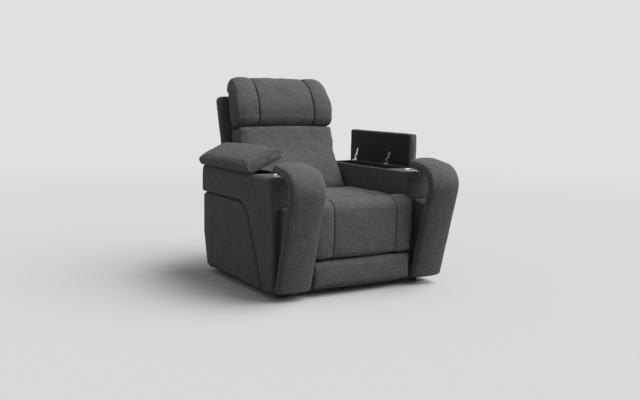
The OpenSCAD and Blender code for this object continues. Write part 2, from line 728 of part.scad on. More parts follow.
module footrest_lower_pad() color(fabric) {
    z0 = footrest_bottom_z;
    z1 = footrest_split_z - split_gap / 2;
    f = pad_f;
    e = footrest_pad_t;
    g = pad_f + e - lower_pad_in;
    outline = [[-f, z0 + e * 0.05], [-f, z1 - e * 0.05], [-f - e * 0.26, z1], [-g + e * 0.26, z1 - e * 0.02],
        [-g + e * 0.06, z1 - e * 0.2], [-g - e * 0.02, z1 - e * 0.65], [-g - e * 0.03, (z0 + z1) / 2],
        [-g - e * 0.02, z0 + e * 0.65], [-g + e * 0.06, z0 + e * 0.2], [-g + e * 0.26, z0 + e * 0.02], [-f - e * 0.26, z0]];
    loft_x(outline, [0, 0, 0, 0.2, 0.6, 1, 1, 1, 0.6, 0.2, 0],
        padded_stations(pad_half - lower_side_in, foot_round, lower_crown, 0, 0, 0), [-f - e / 2, (z0 + z1) / 2]);
}

module footrest_board() color(wood) box([-board_half, -pad_f, footrest_bottom_z + board_low],
    [board_half, -board_f, roll_z0 - board_drop]);

module footrest_brackets() color(steel) both_sides() {
    x0 = link_x - link_gap - sheet_t;
    x1 = link_x - link_gap;
    difference() {
        union() {
            box([x0, -board_f, foot_pivot_z - bracket_half],
                [link_x + bracket_flange, -board_f + sheet_t, foot_pivot_z + bracket_half]);
            hull() {
                rod_x(x0, x1, -foot_pivot_f, foot_pivot_z, eye_r);
                box([x0, -board_f, foot_pivot_z - bracket_web], [x1, -board_f + sheet_t, foot_pivot_z + bracket_web]);
            }
        }
        rod_x(x0 - cut, x1 + cut, -foot_pivot_f, foot_pivot_z, pin_r);
    }
}

module link(x, y0, z0, y1, z1) hull() {
    rod_x(x, x + link_t, y0, z0, link_w / 2);
    rod_x(x, x + link_t, y1, z1, link_w / 2);
}

module lower_links() color(steel) both_sides() difference() {
    link(knee_x, -link_f, link_z, -knee_f, knee_z);
    rod_x(knee_x - cut, knee_x + link_t + cut, -link_f, link_z, pin_r + run_gap);
    rod_x(knee_x - cut, knee_x + link_t + cut, -knee_f, knee_z, pin_r);
}

module torque_tube() color(steel) difference() {
    rod_x(-knee_x, knee_x, -tube_f, tube_z, tube_r);
    rod_x(-knee_x - cut, knee_x + cut, -tube_f, tube_z, tube_r - tube_wall);
}

module upper_links() color(bright) both_sides() difference() {
    link(link_x, -knee_f, knee_z, -foot_pivot_f, foot_pivot_z);
    rod_x(link_x - cut, link_x + link_t + cut, -knee_f, knee_z, pin_r + run_gap);
    rod_x(link_x - cut, link_x + link_t + cut, -foot_pivot_f, foot_pivot_z, pin_r + run_gap);
}

// A pin along X from x0 to x1, with a head of thickness t before x0
module headed_pin(x0, x1, y, z, t) {
    rod_x(x0, x1, y, z, pin_r);
    rod_x(x0 - t, x0, y, z, pin_r + pin_head_over);
}

module knee_pins() color(bright) both_sides()
    headed_pin(link_x - pin_reach, knee_x + link_t, -knee_f, knee_z, knee_head_t);

module footrest_pins() color(bright) both_sides()
    headed_pin(link_x - link_gap - sheet_t, link_x + link_t, -foot_pivot_f, foot_pivot_z, pin_head_t);

module pivot_pins() color(bright) both_sides() {
    headed_pin(knee_x - pin_reach, plate_x + plate_t + pin_reach, -link_f, link_z, pin_head_t);
    headed_pin(plate_x - plate_t - bracket_gap - pin_reach, plate_x + plate_t + pin_reach, pivot_y, pivot_z, pin_head_t);
}

// Base
module base_frame() color(steel) {
    for (y = [-cross_y, cross_y]) difference() {
        box([-cross_half, y - cross_w / 2, foot_h], [cross_half, y + cross_w / 2, arm_bottom_z]);
        box([-cross_half - cut, y - cross_w / 2 + cross_wall, foot_h + cross_wall],
            [cross_half + cut, y + cross_w / 2 - cross_wall, arm_bottom_z - cross_wall]);
        for (x = [-foot_x, foot_x]) fixing_hole(x, y);
    }
    both_sides() box([plate_x - plate_t, -cross_y - cross_w / 2, arm_bottom_z],
        [plate_x - plate_t + base_rail_w, cross_y + cross_w / 2, arm_bottom_z + base_rail_h]);
}

// Hole for a floor bolt, through the glide and the underside of the cross tube
module fixing_hole(x, y) translate([x, y, -cut]) cylinder(h = foot_h + cross_wall + 2 * cut, r = fixing_r, $fn = fine);

module feet() color(rubber) for (x = [-foot_x, foot_x], y = [-cross_y, cross_y]) difference() {
    translate([x, y, 0]) cylinder(h = foot_h, r = foot_r, $fn = fine);
    fixing_hole(x, y);
}

module side_plates() color(steel) {
    both_sides() difference() {
        union() {
            across(plate_x, plate_x + plate_t) polygon([[plate_front, arm_bottom_z + base_rail_h],
                [plate_rear, arm_bottom_z + base_rail_h], [plate_rear, pivot_z], [seat_frame_rear, seat_frame_z],
                [plate_front + plate_corner, seat_frame_z], [plate_front, seat_frame_z - plate_slope]]);
            rod_x(plate_x, plate_x + plate_t, pivot_y, pivot_z, boss_r);
        }
        across(plate_x - cut, plate_x + plate_t + cut) polygon([[window_front + window_corner, window_low],
            [window_rear - window_corner, window_low], [window_rear, window_low + window_corner],
            [window_rear, window_top - window_corner], [window_rear - window_corner, window_top],
            [window_front + window_slope, window_top], [window_front, window_low + window_step]]);
        rod_x(plate_x - cut, plate_x + plate_t + cut, -link_f, link_z, pin_r);
        rod_x(plate_x - cut, plate_x + plate_t + cut, pivot_y, pivot_z, pin_r);
    }
    for (p = [tube_a, tube_b]) difference() {
        rod_x(-plate_x, plate_x, p[0], p[1], tube_r);
        rod_x(-plate_x - cut, plate_x + cut, p[0], p[1], tube_r - tube_wall);
    }
}

// A motor with its gearbox and track; the track runs along dir from the cross tube at p
module actuator(x, p, dir, length) color(board_black) {
    y0 = p[0] + dir * gear_half;
    y1 = y0 + dir * length;
    difference() {
        box([x - gear_side, p[0] - gear_half, p[1] - gear_half], [x + gear_side, p[0] + gear_half, p[1] + gear_half]);
        rod_x(x - gear_side - cut, x + gear_side + cut, p[0], p[1], tube_r);
    }
    rod_x(x + gear_side, x + gear_side + motor_len, p[0] - dir * motor_back, p[1] - motor_drop, motor_r);
    box([x - gear_side, p[0] - gear_neck, p[1] - gear_drop], [x + gear_side, p[0] + gear_neck, p[1] - gear_half]);
    box([x - track_w / 2, min(y0, y1), p[1] - track_h / 2], [x + track_w / 2, max(y0, y1), p[1] + track_h / 2]);
}

module drive_block(x, p, dir, start) color(rubber) difference() {
    y0 = p[0] + dir * start;
    box([x - track_w / 2 - block_side, y0 - block_l / 2, p[1] - track_h / 2 - block_over],
        [x + track_w / 2 + block_side, y0 + block_l / 2, p[1] + track_h / 2 + block_over]);
    box([x - track_w / 2 - block_clear, y0 - block_l / 2 - cut, p[1] - track_h / 2 - block_clear],
        [x + track_w / 2 + block_clear, y0 + block_l / 2 + cut, p[1] + track_h / 2 + block_clear]);
}

module footrest_actuator() actuator(-motor_x, tube_a, -1, footrest_track);
module footrest_drive_block() drive_block(-motor_x, tube_a, -1, footrest_block_at);
module recline_actuator() actuator(motor_x, tube_b, 1, recline_track);
module recline_drive_block() drive_block(motor_x, tube_b, 1, recline_block_at);

module power_supply() color(board_black) difference() {
    box([-supply_half, cross_y - supply_front, arm_bottom_z], [supply_half, cross_y + cross_w / 2, arm_bottom_z + supply_h]);
    box([socket_x - socket_w / 2, cross_y + cross_w / 2 - socket_d, arm_bottom_z + socket_low],
        [socket_x + socket_w / 2, cross_y + cross_w / 2 + cut, arm_bottom_z + socket_low + socket_h]);
}

module rear_panel() color(dark_fabric)
    box([-arm_in, arm_rear - rear_panel_in - rear_panel_t, arm_bottom_z + rear_panel_low],
        [arm_in, arm_rear - rear_panel_in, arm_bottom_z + rear_panel_low + rear_panel_h]);

// Back
module back_brackets() color(steel) both_sides() in_back() difference() {
    union() {
        hull() {
            rod_x(frame_half, frame_half + plate_t, 0, 0, bracket_r);
            box([frame_half, frame_t0, bracket_low], [frame_half + plate_t, shell_t0, bracket_root]);
        }
        box([frame_half, frame_t0, bracket_low], [frame_half + plate_t, shell_t0, bracket_high]);
    }
    rod_x(frame_half - cut, frame_half + plate_t + cut, 0, 0, pin_r + run_gap);
}

module back_frame() color(wood) in_back() difference() {
    box([-frame_half, frame_t0, frame_bottom], [frame_half, shell_t0, frame_top]);
    box([-frame_half + frame_rail, frame_t0 - cut, frame_bottom + frame_rail],
        [frame_half - frame_rail, shell_t0 + cut, head_pivot_s - mid_rail_drop - frame_rail]);
    box([-frame_half + frame_rail, frame_t0 - cut, head_pivot_s - mid_rail_drop],
        [frame_half - frame_rail, shell_t0 + cut, frame_top - frame_rail]);
}

module back_springs() color(steel) in_back() {
    span = frame_half - frame_rail;
    for (i = [0:4]) translate([-span, frame_t0 + back_spring_in,
        frame_bottom + frame_rail + back_spring_first + i * back_spring_pitch]) rotate([90, 0, 0]) zigzag(2 * span, 26);
}

// Half width of the back cushion at height s: narrow between the arms, wide above them
function back_half(s) = back_low_half
    + (back_w / 2 - back_low_half) * max(0, min(1, (s - back_widen_s) / back_widen_run));

module back_cushion() color(fabric) in_back() {
    t1 = frame_t0 - soft_gap;
    hub = [t1 * back_middle_share[0], back_cushion_top * back_middle_share[1]];
    outline = [for (q = back_shares) [t1 * q[0], back_cushion_top * q[1]]];
    n = normals(outline);
    rings = [for (s = padded_stations(1, back_edge_share, 1, 0, 0, 0)) [for (i = [0:len(outline) - 1])
        let (q = outline[i] - n[i] * (s[1] * back_low_half + s[2] * back_crown * back_face_shares[i]))
        [s[0] * back_half(outline[i][1]), q[0], q[1]]]];
    cap = [for (k = [0.25, 0.5, 0.75]) [for (q = rings[0]) let (c = hub + ([q[1], q[2]] - hub) * k)
        [-back_half(c[1]), c[0], c[1]]]];
    skin(concat(cap, rings, [for (j = [2, 1, 0]) [for (q = cap[j]) [-q[0], q[1], q[2]]]]),
        [-back_half(hub[1]), hub[0], hub[1]], [back_half(hub[1]), hub[0], hub[1]]);
}

// Rows up the outer back as shares of its length and thickness, and how far each row is drawn in
shell_shares = [[0, 0.6], [0.02, 1], [0.2, 1], [0.38, 1], [0.45, 1], [0.7, 1], [0.93, 1], [0.98, 1], [1, 0.6]];

module back_shell() color(dark_fabric) in_back()
    strip([for (q = shell_shares) [shell_t0 + shell_t / 2, shell_bottom + (shell_top - shell_bottom) * q[0],
        (q[0] < 0.4 ? back_low_half : shell_w / 2)
            - (q[0] == 1 ? shell_top_in : q[0] == 0.98 || q[0] == 0 ? shell_step_in : 0),
        shell_t / 2 * q[1]]], 0, shell_edge_r, 0);

// Headrest
module headrest_arms() color(steel) in_back() both_sides() {
    hull() {
        rod_x(arm_x, arm_x + head_arm_t, head_pivot_t, head_pivot_s, eye_r);
        box([arm_x, frame_t0 - sheet_t, head_pivot_s - head_arm_root],
            [arm_x + head_arm_t, frame_t0, head_pivot_s + head_arm_root]);
    }
    box([arm_x, frame_t0 - sheet_t, head_pivot_s - head_arm_flange],
        [arm_x + head_arm_w, frame_t0, head_pivot_s + head_arm_flange]);
    rod_x(lug_x - pin_head_t, arm_x, head_pivot_t, head_pivot_s, pin_r);
}

module headrest_board() color(wood) in_back() {
    t1 = head_board_t0 + head_board_t;
    box([-lug_x + head_board_in, head_board_t0, head_pivot_s + head_board_up],
        [lug_x - head_board_in, t1, head_top - head_board_drop]);
    both_sides() {
        difference() {
            hull() {
                rod_x(lug_x, lug_x + lug_t, head_pivot_t, head_pivot_s, lug_r);
                box([lug_x, head_board_t0 - head_board_up, head_pivot_s + head_board_up],
                    [lug_x + lug_t, t1, head_pivot_s + lug_rise]);
            }
            rod_x(lug_x - cut, lug_x + lug_t + cut, head_pivot_t, head_pivot_s, pin_r + run_gap);
        }
        box([lug_x - head_board_in, head_board_t0, head_pivot_s + lug_foot], [lug_x, t1, head_pivot_s + lug_rise]);
    }
}

module headrest_cushion() color(fabric) in_back() difference() {
    outline = concat(arc(head_pivot_t, head_pivot_s, head_roll_r, -180, 0, 8),
        [[frame_t0 - head_low_gap, head_pivot_s + lug_rise], [frame_t0 - head_top_gap, shell_top - shell_gap],
            [head_back_t, shell_top + shell_over]],
        [for (q = head_shares) [head_front_t + (head_back_t - head_front_t) * q[0], head_top - head_round_s * q[1]]]);
    n = normals(outline);
    share = [for (p = outline) p[0] < head_pivot_t && p[1] > head_pivot_s - head_roll_r * 0.35 ? 1
        : p[1] > head_top - head_round_s * 0.21 ? 0.6 : 0];
    mid = [head_pivot_t, (head_pivot_s + head_top) / 2];
    rings = [for (s = padded_stations(head_w / 2, head_round, head_crown, head_w / 2 * head_seam_share, head_groove,
            head_seam_w)) [for (i = [0:len(outline) - 1])
        let (q = outline[i] - n[i] * (s[1] + s[2] * share[i]), top = max(0, (q[1] - head_top) / head_taper_s + 1))
        [s[0] * (1 - head_taper_share * top * top), q[0], q[1]]]];
    skin(rings, [-head_w / 2, mid[0], mid[1]], [head_w / 2, mid[0], mid[1]]);
    box([-lug_x - cut, head_board_t0 - soft_gap, head_pivot_s + head_board_up - soft_gap],
        [lug_x + cut, head_board_t0 + head_board_t + soft_gap, head_top - head_board_drop + soft_gap]);
    both_sides() box([lug_x - slot_in, head_pivot_t - slot_front, head_pivot_s - head_roll_r - head_crown - cut],
        [arm_x + head_arm_t + slot_in, head_back_t + head_crown + cut, head_pivot_s + lug_rise + slot_over]);
}

module headrest_actuator() color(board_black) in_back() {
    low = head_pivot_s - mid_rail_drop;
    box([-head_motor_half, frame_t0 + head_motor_gap, low],
        [head_motor_half, shell_t0 - head_motor_gap, head_pivot_s + lug_rise]);
    rod_x(head_motor_half, head_motor_half + head_motor_len, (frame_t0 + shell_t0) / 2, low + head_motor_r, head_motor_r);
}

// Controls on the inner face of the viewer's left arm
module control_plate() color(board_black) difference() {
    box([-arm_in, control_y - control_l / 2, control_z - control_h / 2],
        [-arm_in + control_t, control_y + control_l / 2, control_z + control_h / 2]);
    for (i = [-1:1]) rod_x(-arm_in - cut, -arm_in + control_t + cut, control_y + i * button_pitch, control_z, button_r + run_gap);
}

module button(i) color(steel) {
    rod_x(-arm_in - button_in, -arm_in + control_t + button_out, control_y + i * button_pitch, control_z, button_r);
    rod_x(-arm_in - button_in, -arm_in - seat_gap, control_y + i * button_pitch, control_z, button_r + button_flange);
}

module back_button() button(-1);
module footrest_button() button(0);
module headrest_button() button(1);

module left_arm_frame() arm_frame(-1);
module right_arm_frame() arm_frame(1);
module left_inner_panel() inner_panel(-1);
module right_inner_panel() inner_panel(1);
module left_outer_upper_panel() outer_upper_panel(-1);
module right_outer_upper_panel() outer_upper_panel(1);
module left_outer_lower_panel() outer_lower_panel(-1);
module right_outer_lower_panel() outer_lower_panel(1);
module left_cup_housing() cup_housing(-1);
module right_cup_housing() cup_housing(1);
module left_cup_liner() cup_liner(-1);
module right_cup_liner() cup_liner(1);
module left_cup_ring() cup_ring(-1);
module right_cup_ring() cup_ring(1);
module left_storage_tub() storage_tub(-1);
module right_storage_tub() storage_tub(1);
module left_post() post(-1);
module right_post() post(1);
module left_post_web() post_web(-1);
module right_post_web() post_web(1);
module left_lid_board() lid_board(-1);
module right_lid_board() lid_board(1);
module left_lid_pad() lid_pad(-1);
module right_lid_pad() lid_pad(1);

base_frame();
feet();
side_plates();
pivot_pins();
lower_links();
torque_tube();
knee_pins();
upper_links();
footrest_board();
footrest_brackets();
footrest_pins();
footrest_pad();
footrest_lower_pad();
footrest_actuator();
footrest_drive_block();
recline_actuator();
recline_drive_block();
power_supply();
rear_panel();
seat_frame();
seat_springs();
seat_cushion();
back_brackets();
back_frame();
back_springs();
back_cushion();
back_shell();
headrest_arms();
headrest_board();
headrest_cushion();
headrest_actuator();
left_arm_frame();
right_arm_frame();
left_inner_panel();
right_inner_panel();
left_outer_upper_panel();
right_outer_upper_panel();
left_outer_lower_panel();
right_outer_lower_panel();
left_cup_housing();
right_cup_housing();
left_cup_liner();
right_cup_liner();
left_cup_ring();
right_cup_ring();
left_storage_tub();
right_storage_tub();
left_post();
right_post();
left_post_web();
right_post_web();
lid_hinge_pins();
left_lid_board();
right_lid_board();
left_lid_pad();
right_lid_pad();
control_plate();
back_button();
footrest_button();
headrest_button();
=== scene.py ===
# Looks of the cinema recliner seat: upholstery, lids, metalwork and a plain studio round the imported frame.
# Lengths are millimetres until a mesh is made, and the axes are the frame's own.
import json
import math

import bmesh
import bpy
import numpy as np
from mathutils import Matrix, Vector, noise
from mathutils.geometry import delaunay_2d_cdt


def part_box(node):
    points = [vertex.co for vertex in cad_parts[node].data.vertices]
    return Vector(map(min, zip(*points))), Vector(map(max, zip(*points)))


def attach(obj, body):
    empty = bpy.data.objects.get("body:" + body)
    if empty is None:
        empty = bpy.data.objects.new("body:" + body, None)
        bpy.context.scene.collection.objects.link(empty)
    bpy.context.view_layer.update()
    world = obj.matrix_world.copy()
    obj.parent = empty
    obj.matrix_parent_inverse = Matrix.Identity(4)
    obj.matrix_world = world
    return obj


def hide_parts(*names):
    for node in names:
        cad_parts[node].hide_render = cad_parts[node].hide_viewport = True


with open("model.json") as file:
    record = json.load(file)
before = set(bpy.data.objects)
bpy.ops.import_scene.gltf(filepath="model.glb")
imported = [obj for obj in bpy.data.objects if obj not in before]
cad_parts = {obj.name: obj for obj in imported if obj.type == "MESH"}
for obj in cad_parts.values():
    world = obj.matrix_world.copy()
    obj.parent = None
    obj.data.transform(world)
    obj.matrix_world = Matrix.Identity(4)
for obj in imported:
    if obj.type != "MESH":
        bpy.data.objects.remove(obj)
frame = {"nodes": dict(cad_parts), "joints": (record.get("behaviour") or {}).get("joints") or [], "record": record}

MM = 0.001
SCENE = bpy.context.scene
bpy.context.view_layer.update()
SIDE_NAME = {1: "right", -1: "left"}
JOINTS = {j["name"]: j for j in frame["joints"]}


def span(node):
    """Lowest and highest corner of a node at rest."""
    return np.round(np.array([list(corner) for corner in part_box(node)]) / MM, 1)


def pivot(joint):
    """A joint's place at rest."""
    return np.round(np.array(JOINTS[joint]["pos_m"]) / MM, 1)


# Sizes of the solids that the pieces fit
CORE_IN, CORE_OUT = span("right_arm_frame")[:, 0]
CORE_REAR = span("right_arm_frame")[1, 1]
_, ARM_FRONT, ARM_BOTTOM = span("right_outer_upper_panel")[0]
ARM_OUT, ARM_REAR, ARM_TOP = span("right_outer_upper_panel")[1]
_, LOWER_REAR, LOWER_TOP = span("right_outer_lower_panel")[1]
HOUSING_Z = span("right_cup_housing")[0, 2]
FRONT_LEAN = 35
SEAM_GAP, SEAM_Y, SEAM_R, SEAM_LEAN = 7, -6, 148, 24
SEAM_Z = LOWER_TOP + SEAM_GAP / 2
LID_X, _, LID_Z = pivot("right_lid_hinge")
LID_W = 188
LID_Y0, LID_Y1 = span("right_lid_pad")[:, 1]
LID_OPEN = {side: -JOINTS[f"{word}_lid_hinge"]["range_deg"][0] for side, word in SIDE_NAME.items()}
_, PIVOT_Y, PIVOT_Z = pivot("back_recline")
BACK_LEAN = 15
HEAD_PIVOT_T, HEAD_PIVOT_S, HEAD_TOP, SHELL_TOP = 86, 573, 812, 726
SEAT_HALF, SEWN_AT = 302, 190
CLOTH = 1.0

# Names of the slots that the scene's own pieces take
FABRIC, SIDE, LINING, CHROME = "woven_fabric", "side_fabric", "lid_lining", "bright_metal"


# Outlines
def smooth(a, b, v):
    """0 up to a and 1 from b, with a soft change between them."""
    t = np.clip((v - a) / (b - a), 0, 1)
    return t * t * (3 - 2 * t)


def densify(p, step, closed=True):
    """The same outline with no edge longer than step."""
    q = np.vstack([p, p[:1]]) if closed else np.asarray(p, float)
    out = []
    for a, b in zip(q[:-1], q[1:]):
        n = max(1, math.ceil(np.linalg.norm(b - a) / step))
        out += [a + (b - a) * k / n for k in range(n)]
    return np.array(out if closed else out + [q[-1]])


def chaikin(p, rounds):
    """Corners cut, a few times over, which rounds them."""
    for _ in range(rounds):
        ahead = np.roll(p, -1, 0)
        q = np.empty((2 * len(p), p.shape[1]))
        q[0::2], q[1::2] = p * 0.75 + ahead * 0.25, p * 0.25 + ahead * 0.75
        p = q
    return p


def resample(p, spacing, closed=True):
    """The same outline with its points at an even spacing."""
    q = np.vstack([p, p[:1]]) if closed else p
    s = np.r_[0, np.cumsum(np.linalg.norm(np.diff(q, axis=0), axis=1))]
    t = np.linspace(0, s[-1], max(3, round(s[-1] / spacing)) + 1)
    out = np.column_stack([np.interp(t, s, q[:, k]) for k in range(q.shape[1])])
    return out[:-1] if closed else out


def soft(p, corner, spacing):
    """A closed outline through corners, which are rounded over about the length of corner."""
    return resample(chaikin(densify(np.array(p, float), corner), 3), spacing)


def outward(p, reach=3):
    """Outward normals of a closed outline that runs anticlockwise."""
    d = np.roll(p, -reach, 0) - np.roll(p, reach, 0)
    n = np.column_stack([d[:, 1], -d[:, 0]])
    return n / np.linalg.norm(n, axis=1)[:, None]


def arc(ca, cb, r, a0, a1, n):
    """Points on an arc round (ca, cb), from angle a0 to a1 in degrees."""
    angles = [math.radians(a0 + (a1 - a0) * i / n) for i in range(n + 1)]
    return [(ca + r * math.cos(a), cb + r * math.sin(a)) for a in angles]


# Meshes
def make(name, verts, faces, slot, uvs=None, body="root", replaces=(), level=0, crisp=0):
    """A piece that rides on a body, from vertices in millimetres.

    uvs gives each face's corners in metres for the weave, and crisp the angle above which an edge is sharp.
    """
    me = bpy.data.meshes.new(name)
    me.from_pydata([tuple(v) for v in np.asarray(verts, float) * MM], [], faces)
    if uvs is not None:
        layer = me.uv_layers.new(name="weave")
        layer.data.foreach_set("uv", np.concatenate([np.asarray(u, float).ravel() for u in uvs]))
    me.materials.append(FINISH[slot])
    me.polygons.foreach_set("use_smooth", [True] * len(me.polygons))
    ob = bpy.data.objects.new(name, me)
    SCENE.collection.objects.link(ob)
    bm = bmesh.new()
    bm.from_mesh(me)
    bmesh.ops.recalc_face_normals(bm, faces=bm.faces)
    bm.to_mesh(me)
    bm.free()
    if uvs is None:
        box_uv(me)
    if crisp:
        me.set_sharp_from_angle(angle=math.radians(crisp))
    if level:
        m = ob.modifiers.new("round", "SUBSURF")
        m.levels = m.render_levels = level
    if replaces:
        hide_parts(*replaces)
    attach(ob, body)
    return ob


def box_uv(me):
    """Weave coordinates from the face's main direction, in metres."""
    layer = me.uv_layers.new(name="weave")
    co = np.array([v.co for v in me.vertices], float).reshape(-1, 3)
    out = np.zeros((len(me.loops), 2))
    for p in me.polygons:
        k = int(np.argmax(np.abs(p.normal)))
        keep = [i for i in range(3) if i != k]
        for li in p.loop_indices:
            out[li] = co[me.loops[li].vertex_index][keep]
    layer.data.foreach_set("uv", out.ravel())


def skin(rings):
    """Faces over equal closed rings, with a fan at each end, and the weave coordinates of each."""
    k, m = len(rings), len(rings[0])
    verts = np.concatenate(rings)
    girth = np.r_[0, np.cumsum(np.linalg.norm(np.roll(rings[k // 2], -1, 0) - rings[k // 2], axis=1))] * MM
    mid = np.array([r.mean(0) for r in rings])
    run = np.r_[0, np.cumsum(np.linalg.norm(np.diff(mid, axis=0), axis=1))] * MM
    faces, uvs = [], []
    for j in range(k - 1):
        for i in range(m):
            n = (i + 1) % m
            faces.append((j * m + i, j * m + n, (j + 1) * m + n, (j + 1) * m + i))
            a, b, c, d = run[j], run[j + 1], girth[i], girth[i + 1]
            uvs.append([(a, c), (a, d), (b, d), (b, c)])
    verts = np.vstack([verts, mid[:1], mid[-1:]])
    for ring, hub, flip in ((0, k * m, 1), (k - 1, k * m + 1, -1)):
        for i in range(m):
            n = (i + 1) % m
            faces.append((ring * m + i, ring * m + n, hub)[::flip])
            uvs.append([(run[ring], girth[i]), (run[ring], girth[i + 1]), (run[ring], girth[i])][::flip])
    return verts, faces, uvs


def block(lo, hi, edge, turn=None):
    """Vertices and faces of a box with rounded edges; turn is a matrix."""
    bm = bmesh.new()
    bmesh.ops.create_cube(bm, size=1)
    for v in bm.verts:
        v.co = Vector([a + (c + 0.5) * (b - a) for a, b, c in zip(lo, hi, v.co)])
    bmesh.ops.bevel(bm, geom=bm.edges[:], offset=edge, segments=2, profile=0.5, affect="EDGES")
    return taken(bm, turn)


def disc(radius, height, edge, turn, sides=32):
    """Vertices and faces of a disc or rod that stands on the origin, and is then turned."""
    bm = bmesh.new()
    bmesh.ops.create_cone(bm, cap_ends=True, segments=sides, radius1=radius, radius2=radius, depth=height)
    bmesh.ops.translate(bm, verts=bm.verts, vec=(0, 0, height / 2))
    rim = [e for e in bm.edges if all(v.co.z > height / 2 for v in e.verts)]
    bmesh.ops.bevel(bm, geom=rim, offset=edge, segments=2, profile=0.5, affect="EDGES")
    return taken(bm, turn)


def taken(bm, turn=None):
    """Vertices and faces of a bmesh, which is freed."""
    if turn is not None:
        bmesh.ops.transform(bm, matrix=turn, verts=bm.verts)
    bm.verts.index_update()
    got = np.array([v.co for v in bm.verts], float), [tuple(v.index for v in f.verts) for f in bm.faces]
    bm.free()
    return got


def merged(parts):
    """One set of vertices and faces from several."""
    verts, faces, n = [], [], 0
    for v, f in parts:
        verts.append(v)
        faces += [tuple(i + n for i in face) for face in f]
        n += len(v)
    return np.vstack(verts), faces


def place(matrix, p):
    """The points p, taken by a matrix."""
    p = np.asarray(p, float).reshape(-1, 3)
    return p @ np.array(matrix)[:3, :3].T + np.array(matrix)[:3, 3]


def lid_frame(side):
    """Matrix from (along, inward, up) of a closed lid to its place at rest."""
    turn = Matrix.Rotation(math.radians(LID_OPEN[side]), 4, "Y")
    axes = Matrix(((0, -1, 0, 0), (1, 0, 0, 0), (0, 0, 1, 0), (0, 0, 0, 1)))
    m = Matrix.Translation((LID_X, 0, LID_Z)) @ turn @ axes
    return m if side > 0 else Matrix.Diagonal((-1, 1, 1, 1)) @ m


MAIN = Matrix.Identity(4)
# The back's own frame: x, t rearward from the pivot, s up along the back
BACK = Matrix.Translation((0, PIVOT_Y, PIVOT_Z)) @ Matrix.Rotation(math.radians(-BACK_LEAN), 4, "X")


def camera():
    """The photograph's view, in metres."""
    eye = -2.3611, -3.7939, 0.9997
    azimuth, elevation, roll = (math.radians(a) for a in (-31.99, 7.67, 0.99))
    cam = bpy.data.objects.new("camera", bpy.data.cameras.new("camera"))
    SCENE.collection.objects.link(cam)
    SCENE.camera = cam
    level = math.cos(elevation)
    back = Vector((math.sin(azimuth) * level, -math.cos(azimuth) * level, math.sin(elevation)))
    right = Vector((math.cos(azimuth), math.sin(azimuth), 0))
    up = back.cross(right)
    axes = (right * math.cos(roll) + up * math.sin(roll), up * math.cos(roll) - right * math.sin(roll), back)
    cam.matrix_world = Matrix.Translation(eye) @ Matrix(axes).transposed().to_4x4()
    cam.data.sensor_width, cam.data.lens, cam.data.shift_y = 36, 45.98, 0.0072
    cam.data.clip_start, cam.data.clip_end = 0.1, 200


# Materials
class Nodes:
    """Short way to add nodes to a tree. Each call gives the new node's output."""

    def __init__(self, tree):
        self.tree = tree

    def give(self, socket, value):
        """Links an output to a socket, or sets the socket's own value."""
        if isinstance(value, bpy.types.NodeSocket):
            self.tree.links.new(value, socket)
        else:
            socket.default_value = value

    def node(self, kind, out=0, props=None, **inputs):
        """Inputs go by name, or by place as i0, i1 and so on."""
        n = self.tree.nodes.new("ShaderNode" + kind)
        for key, value in (props or {}).items():
            setattr(n, key, value)
        for key, value in inputs.items():
            placed = key[0] == "i" and key[1:].isdigit()
            self.give(n.inputs[int(key[1:]) if placed else key.replace("_", " ")], value)
        return n.outputs[out]

    def math(self, op, a, b=0.0, c=0.0):
        return self.node("Math", props={"operation": op}, i0=a, i1=b, i2=c)

    def ramp(self, value, *stops, ease=False):
        """A colour band; a stop is (place, colour)."""
        n = self.tree.nodes.new("ShaderNodeValToRGB")
        self.give(n.inputs[0], value)
        n.color_ramp.interpolation = "EASE" if ease else "LINEAR"
        e = n.color_ramp.elements
        e[0].position, e[1].position = stops[0][0], stops[-1][0]
        e[0].color, e[1].color = (*stops[0][1], 1), (*stops[-1][1], 1)
        for pos, col in stops[1:-1]:
            e.new(pos).color = (*col, 1)
        return n.outputs[0]

    def mix(self, fac, a, b, blend="MIX"):
        """Two colours mixed; one that is the same all over is three numbers."""
        n = self.tree.nodes.new("ShaderNodeMix")
        n.data_type, n.blend_type = "RGBA", blend
        for i, value in ((0, fac), (6, a), (7, b)):
            self.give(n.inputs[i], (*value, 1) if isinstance(value, tuple) else value)
        return n.outputs[2]

    def noise(self, vector, scale, detail=3.0, rough=0.5):
        return self.node("TexNoise", Vector=vector, Scale=scale, Detail=detail, Roughness=rough)

    def stretch(self, vector, scale):
        return self.node("Mapping", Vector=vector, Scale=scale)

    def object(self):
        return self.node("TexCoord", "Object")


class Finish(Nodes):
    """A material with one Principled shader."""

    def __init__(self, name, base=(0.5, 0.5, 0.5), rough=0.5, **shader):
        self.mat = bpy.data.materials.new(name)
        self.mat.use_nodes = True
        super().__init__(self.mat.node_tree)
        self.bsdf = self.tree.nodes["Principled BSDF"]
        self.set("Base Color", (*base, 1))
        self.set("Roughness", rough)
        for key, value in shader.items():
            self.set(key.replace("_", " "), value)

    def set(self, socket, value):
        self.give(self.bsdf.inputs[socket], value)

    def bump(self, height, distance, strength):
        """Sets the bump and gives the finished material."""
        self.set("Normal", self.node("Bump", Height=height, Distance=distance, Strength=strength))
        return self.mat


